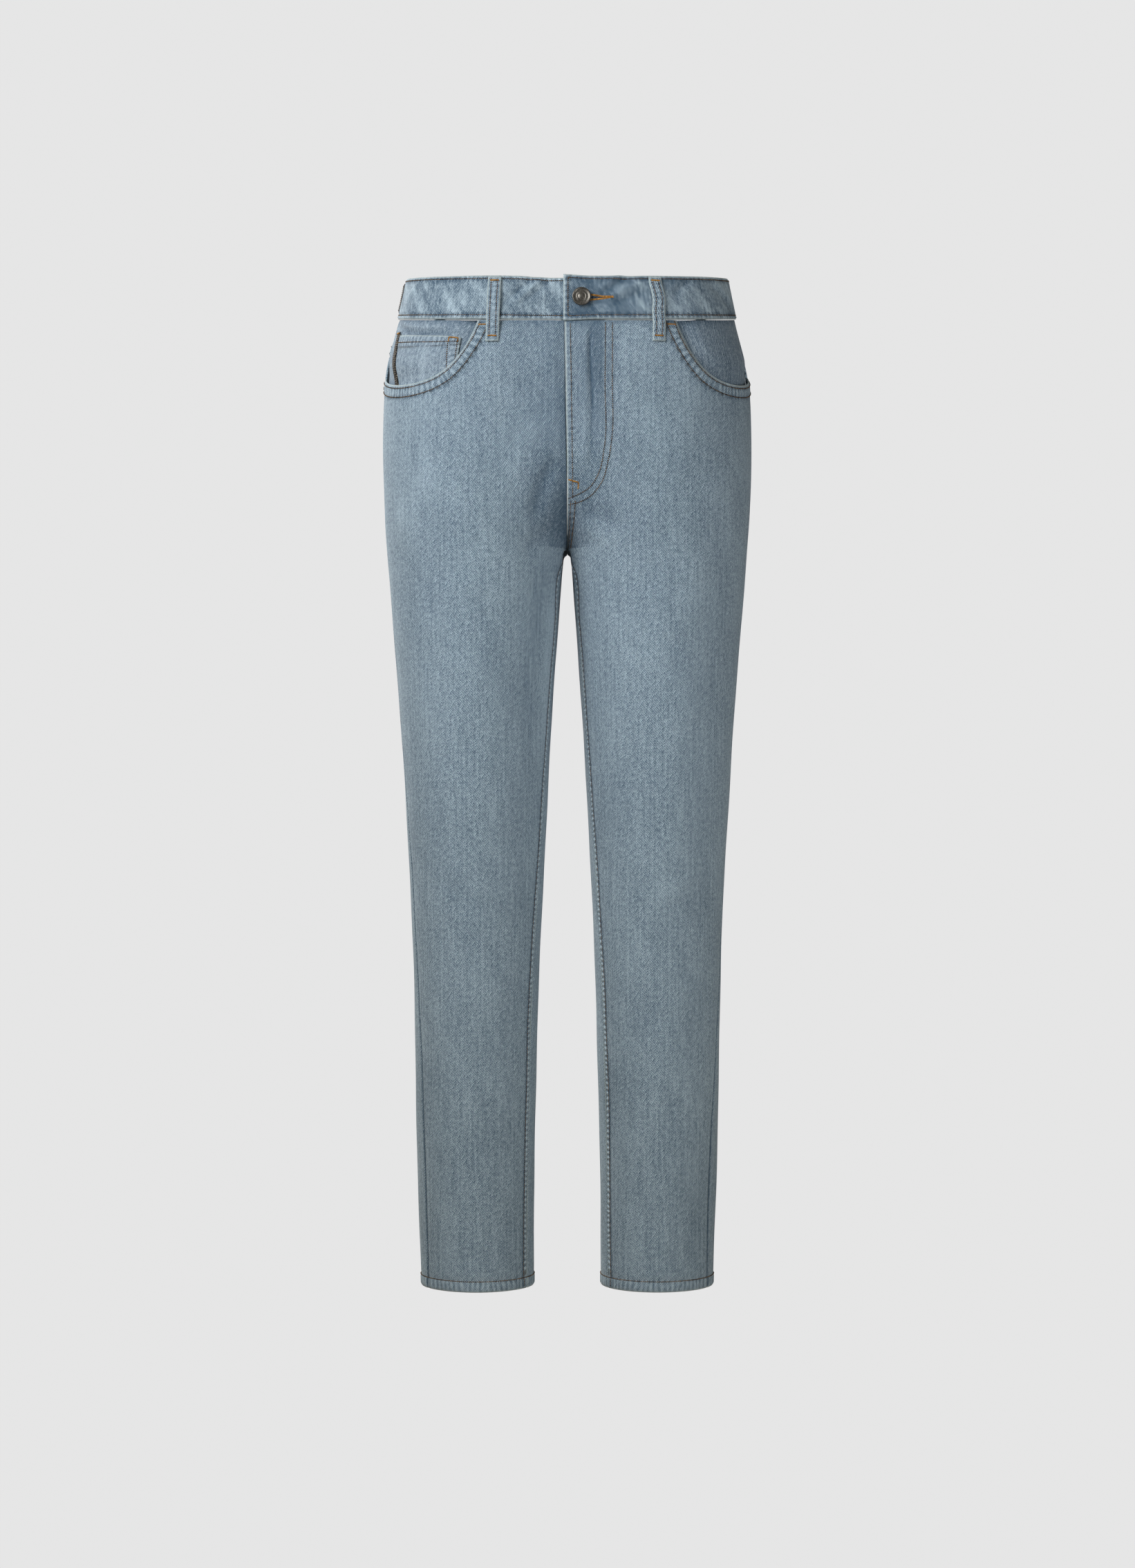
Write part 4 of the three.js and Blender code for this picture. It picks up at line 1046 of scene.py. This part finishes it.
# Waistband: one straight folded strip of denim all round, its warp running round the body, topstitched
# along both edges and down its left end, which laps over the right one at the front.
# The band's strong mottle paints streaks of wear and the shade of its small creases.
BAND_DENIM = denim("denim_band", *BLUES, 0.26, lean=-1, mottle=1.0)
BAND_HEIGHT = 38
BAND_PROUD = 1.6
LAP_END = 3.6
UNDERLAP = 34.0
BAND_LINES = (0.7, 1.7, 2.8, 3.7, 4.7)
TOP_RISE, BUTTON_X = 0.132, 13.0


def band_top(reach, drop=0.0):
    return plane_height(0.0 - drop, TOP_RISE, reach)


def band_place(u, v):
    """u runs from the lapped end round by the left side and the back to the end beneath the lap."""
    front_length, back_length = float(front_end(-20)), float(back_end(-20))
    corners = np.cumsum([0, front_length, back_length, back_length, front_length])
    side = np.where(u < corners[2], LEFT, RIGHT)
    z = np.full(u.shape, -20.0)
    for _ in range(5):
        front, back = front_end(z), back_end(z)
        reach = np.select(
            [u < 0, u < corners[1], u < corners[2], u < corners[3], u < corners[4]],
            [front - u, front * (1 - u / front_length), -back * (u - corners[1]) / back_length,
             -back * (1 - (u - corners[2]) / back_length), front * (u - corners[3]) / front_length],
            front + u - corners[4],
        )
        near_lap = ramp(1 - (u + LAP_END) / 26)
        beneath = ramp((u - corners[4] + 46) / 30)
        foot = band_foot(reach) - 1.3 * near_lap + 0.5 * beneath
        top = band_top(reach) + 1.3 * near_lap - 1.1 * beneath
        z = foot + (top - foot) * v / BAND_HEIGHT
    past = np.where(side == RIGHT, reach - front_end(z), -60.0)
    sink = 3.6 * ramp(1 + (past + 2 * LAP_END) / 60)
    low, high, lap = v, BAND_HEIGHT - v, u + LAP_END
    edge = least(low, high, lap)
    out = (
        BAND_PROUD - sink - 1.1 * fade(edge, 1.7) + 0.45 * hump(low, 1.3, 1.2) - 0.4 * hump(low, 3.6, 0.8)
        - 0.4 * hump(high, 3.0, 0.8) + 0.5 * hump(lap, 1.8, 1.3) - 0.4 * hump(lap, 4.1, 0.8)
    )
    # painted shading: painted shade in the sewn grooves along both edges and the lapped end, a painted shadow
    # round the button, and darker cloth from just past the lapped end to about 80 mm along
    tone = (
        -1.1 * hump(low, 4.2, 1.6) - 0.9 * hump(high, 3.6, 1.6) - 0.8 * hump(lap, 4.4, 1.6)
        - 0.7 * hump(np.hypot(u - 15, v - 18), 12, 5) - 0.75 * ramp((u - 2) / 10) * ramp((80 - u) / 30)
    )
    pucker = [0.6 * ramp((7 - low) / 3), 0.5 * ramp((7 - high) / 3), 0.5 * ramp((8 - lap) / 3)]
    return dict(z=z, reach=reach, out=out, side=side, across=u, edge=edge, tone=tone,
                along=np.where(lap < 6, v, u), pucker=most(*pucker))


BAND_LENGTH = 2 * float(front_end(-20) + back_end(-20)) + UNDERLAP
band_columns = spaced(BAND_LENGTH + LAP_END, 2.8, BAND_LINES) - LAP_END
band_rows = spaced(BAND_HEIGHT, 2.0, BAND_LINES)
band = cut_piece("waistband_strip", band_columns, band_rows, band_place, thickness=3.1,
                 paints=(BAND_DENIM, DENIM_INSIDE), flat=(0.04, BAND_LENGTH * 0.001), held="stretched")
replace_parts(band, "waistband")


def on_band(u, v, lift=0.2):
    """Rows in the band's own grid, one for each side of the body that they cross."""
    u, v = arrays(u, v)
    sides = band_place(u[:, None], v[:, None])["side"][:, 0]
    row = on_piece(band_place, sides, u, v, lift)
    return [(side, *(part[sides == side] for part in row[1:])) for side in (LEFT, RIGHT) if side in sides]


band_run = np.linspace(0.4, BAND_LENGTH - UNDERLAP - 2, 900)
lap_run = np.linspace(4, 35, 40)
sew("stitches_band", [*on_band(band_run, 3.7), *on_band(band_run, 35.2), *on_band(0.6, lap_run)])

# Buttonhole: two close rows of orange thread that meet in a point, with the slit between them, drawn as beads
# of near-black painted shadow flecked with pale fluff.
hole_run, hole_rows = np.linspace(18, 38, 20), []
for v_start, v_end in ((21.4, 19.2), (16.4, 18.6)):
    hole_rows += [tack(row, 2.4) for row in on_band(hole_run, np.linspace(v_start, v_end, 20), 0.15)]
hole_rows += [tack(row, 3.0) for row in on_band(np.linspace(36, 41, 8), 18.9, 0.25)]
sew("buttonhole", hole_rows, ORANGE_THREAD)
SLIT_SHADOW_AND_FLUFF, slit_shader, shade = new_material("buttonhole_slit_shadow", 1.0, specular=0.0)
fluff = shade.texture("Noise", 900.0)
# near-black painted shadow in the slit, flecked with pale fluff
fluff.step(0.5, 0.8).blend((0.012, 0.016, 0.024, 1), (0.2, 0.24, 0.28, 1)).feed(slit_shader, "Base Color")
slit_row = on_band(np.linspace(18, 35, 12), 18.9, 0.0)
sew("buttonhole_cut", [(*row, 3.0, 3.6, 0.9, False) for row in slit_row], SLIT_SHADOW_AND_FLUFF)

# Belt loops: narrow folded strips with two rows of stitches, tacked to the band's top and to the panels
# below it.
LOOP_WIDTH, LOOP_LENGTH = 12, 56
LOOP_PROFILE = (  # share of the length down, and mm that the inner face stands off the panels
    (0, 1.9), (0.06, 2.3), (0.2, 3.1), (0.38, 3.5), (0.56, 3.3), (0.7, 2.4), (0.8, 1.4), (0.88, 0.75),
    (1, 0.75),
)


def loop_place(reach_at, sway, wave):
    """A belt loop down the line reach_at, its middle swayed and its length waved sideways by mm."""
    def place(u, v):
        share = v / LOOP_LENGTH
        z = np.full(u.shape, -30.0)
        for _ in range(3):
            middle = reach_at(z)
            z = band_top(middle, 1.5) * (1 - share) + band_foot(middle, 20) * share
        bend = sway * np.sin(math.pi * np.clip(share * 1.25, 0, 1)) + wave * np.sin(4.5 * math.pi * share)
        off = np.interp(share, *np.transpose(LOOP_PROFILE))
        beside = np.minimum(u, LOOP_WIDTH - u)
        rim = least(beside, v, LOOP_LENGTH - v)
        return dict(z=z, reach=reach_at(z) + bend + u - LOOP_WIDTH / 2, edge=rim, pucker=0.45,
                    out=off + 1.6 - 0.9 * fade(rim, 1.5) - 0.35 * hump(beside, 3.2, 0.8),
                    # painted shade along the sewn grooves, paler down the middle
                    tone=0.5 * hump(u, 6, 1.8) - 0.8 * hump(beside, 3.2, 1.2))
    return place


FRONT_LOOPS = {RIGHT: (64.5, 68.0), LEFT: (78.0, 83.5)}


def front_loop_line(side):
    top, foot = FRONT_LOOPS[side]
    return lambda z: reach_at_x(z, top + (foot - top) * np.minimum(-z / 75, 1), -1)


LOOP_LINES = {
    "loop_front_right": (RIGHT, front_loop_line(RIGHT), 0.0, 0.0),
    "loop_front_left": (LEFT, front_loop_line(LEFT), -1.4, 0.5),
    "loop_side_right": (RIGHT, lambda z: np.full(z.shape, -88.0), 0.6, 0.2),
    "loop_side_left": (LEFT, lambda z: np.full(z.shape, -80.0), -0.5, 0.3),
    "loop_back": (LEFT, lambda z: -back_end(z), 0.0, 0.2),
}
for node, (side, line, sway, wave) in LOOP_LINES.items():
    place = loop_place(line, sway, wave)
    columns = spaced(LOOP_WIDTH, 1.3, (0.5, 1.2, 2.2))
    loop = cut_piece("belt_" + node, columns, spaced(LOOP_LENGTH, 1.6), place, side, 1.6,
                     flat=(0.012, 0.057), held="stretched", rests_on=["waistband"])
    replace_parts(loop, node)
    down, tack_run = np.linspace(5, 50.5, 40), np.linspace(2, 10, 9)
    sew("stitches_" + node, [on_piece(place, side, across, down, 0.1) for across in (3.2, 8.8)])
    sew("tacks_" + node, [tack(on_piece(place, side, tack_run, v, 0.25)) for v in (3.6, 51.4)], ORANGE_THREAD)

# Tacks at the pocket mouths: orange bars under the waist seam, and a small knot at each side seam.
mouth_tacks, seam_knots = [], []
for side, _ in SIDES:
    line = SCOOP_LINES[side][0]
    z = float(line[-1, 1]) - 4.5
    edge = float(np.interp(z, line[200:, 1], line[200:, 0]))
    mouth_tacks.append(bar(side, z, edge + 2.4, z, edge + 11.4, 0.6, 1.7))
    knot_z = SCOOPS[side][0][0] - 9.0
    seam = float(side_seam(side, knot_z))
    seam_knots.append(bar(side, knot_z + 1.2, seam + 0.6, knot_z - 1.2, seam + 0.6, 0.7, 5.0))
sew("tacks_mouth", mouth_tacks, ORANGE_THREAD)
sew("knots_side", seam_knots)

# Back pockets: five-sided patches of denim on the seat, hemmed at the mouth and sewn down with two rows.
POCKET_WIDTH, POCKET_HEIGHT = 130, 140


def pocket_width(down):
    """Width of a back pocket this share of the way down it."""
    return POCKET_WIDTH - 20 * down


def pocket_place(u, v):
    across, down = 2 * u / POCKET_WIDTH - 1, v / POCKET_HEIGHT
    z = -112 - down * (POCKET_HEIGHT - 22 * np.abs(across))
    half = 0.5 * pocket_width(down)
    reach = reach_at_x(z, 86 - 4 * down, 1) + across * half
    rim = least((1 - np.abs(across)) * half, v, (POCKET_HEIGHT - v) * 0.93)
    return dict(z=z, reach=reach, edge=rim, pucker=0.7 * ramp((10 - rim) / 3),
                out=2.1 - 1.2 * fade(rim, 1.6) + 0.5 * ramp((14 - v) / 2.5) - 0.3 * hump(rim, 2.6, 0.9),
                along=np.where((v < 15) | (v > 130), reach, z))


for side, word in SIDES:
    half = spaced(POCKET_WIDTH / 2, 2.6)
    columns = np.unique(np.append(half, POCKET_WIDTH - half))
    piece = cut_piece("seat_pocket_" + word, columns, spaced(POCKET_HEIGHT, 2.8), pocket_place, side,
                      flat=(0.13, 0.145), area=0.0155, held="laid", rests_on=["back_" + word])
    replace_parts(piece, "back_pocket_" + word)
    pocket_rows = [on_piece(pocket_place, side, np.linspace(3, 127, 80), 12.5)]
    for inset in (2.6, 8.8):
        foot = POCKET_HEIGHT - inset / 0.93
        down = np.linspace(1, foot, 70)
        near = POCKET_WIDTH * inset / pocket_width(down / POCKET_HEIGHT)
        far = POCKET_WIDTH - near[::-1]
        u = np.concatenate([near, np.linspace(near[-1], far[0], 60), far])
        v = np.concatenate([down, np.full(60, foot), down[::-1]])
        pocket_rows.append(on_piece(pocket_place, side, u, v))
    sew("stitches_pocket_" + word, pocket_rows)

# Waist patch: plain dark leather sewn to the band behind the wearer's right hip.
LEATHER, leather_shader, shade = new_material("leather", 0.6, specular=0.35)
pores, lines = shade.texture("Voronoi", 900.0), shade.texture("Noise", 120.0, Detail=4.0)
leather_tint = lines.step(0.35, 0.7).blend((0.010, 0.010, 0.011, 1), (0.030, 0.029, 0.029, 1))
leather_tint.feed(leather_shader, "Base Color")
(pores + lines).emboss(leather_shader, 0.5, 0.0003)
PATCH_WIDTH, PATCH_HEIGHT = 58, 28


def patch_place(u, v):
    reach = -2 - u
    rim = least(u, PATCH_WIDTH - u, v, PATCH_HEIGHT - v)
    return dict(z=band_top(reach, 4) - v, reach=reach, out=BAND_PROUD + 1.7 - 0.9 * fade(rim, 1.4))


patch_columns, patch_rows = spaced(PATCH_WIDTH, 2.6), spaced(PATCH_HEIGHT, 2.0)
patch = cut_piece("leather_patch", patch_columns, patch_rows, patch_place, RIGHT, 1.4, (LEATHER,), "leather")
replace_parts(patch, "waist_patch")
corners = ((2.4, 2.4), (55.6, 2.4), (55.6, 25.6), (2.4, 25.6), (2.4, 2.4))
around = [np.linspace(a, b, 30 if a[1] == b[1] else 15) for a, b in zip(corners, corners[1:])]
sew("stitches_patch", [on_piece(patch_place, RIGHT, *np.concatenate(around).T)])

# Button: a tack button of dull dark metal, turned with a boss, a plain channel and a raised rim.
METAL, metal_shader, shade = new_material("metal", 0.42, metallic=0.85, specular=0.5)
tarnish = shade.texture("Noise", 700.0, Detail=4.0)
tarnish.step(0.3, 0.75).blend((0.085, 0.08, 0.07, 1), (0.17, 0.16, 0.145, 1)).feed(metal_shader, "Base Color")
(tarnish * 0.25 + 0.26).feed(metal_shader, "Roughness")
tarnish.emboss(metal_shader, 0.25, 0.0001)
BUTTON_PROFILE = (  # mm from the axis and mm from the cloth, from the tack's foot to the middle of the face
    (0, 0), (3.4, 0), (3.5, 0.9), (7.6, 1.1), (8.4, 1.5), (8.6, 2.1), (8.4, 3.0), (7.9, 3.5), (7.3, 3.4),
    (6.9, 2.95), (5.0, 2.9), (4.7, 3.0), (4.35, 3.5), (3.9, 3.5), (3.6, 3.0), (3.2, 3.05), (2.9, 3.3),
    (0, 3.35),
)
button_z = float(plane_height(0, TOP_RISE, front_end(-20) - BUTTON_X)) - 20.2
button_reach = float(reach_at_x(button_z, BUTTON_X, -1))
foot, above = (cloth(LEFT, button_z, button_reach, out) for out in (1.9, 2.9))
turn = Vector(above - foot).normalized().to_track_quat("Z", "Y").to_matrix().to_4x4()
bm = bmesh.new()
verts = [bm.verts.new((r * 0.001, 0, h * 0.001)) for r, h in BUTTON_PROFILE]
edges = [bm.edges.new(pair) for pair in zip(verts, verts[1:])]
bmesh.ops.spin(bm, geom=verts + edges, axis=(0, 0, 1), angle=2 * math.pi, steps=48, use_merge=True)
bmesh.ops.remove_doubles(bm, verts=bm.verts, dist=1e-6)
bmesh.ops.recalc_face_normals(bm, faces=bm.faces)
bmesh.ops.transform(bm, matrix=Matrix.Translation(foot) @ turn, verts=bm.verts)
button = make_piece("tack_button", bm, METAL)
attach(button, "root")
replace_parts(button, "button")
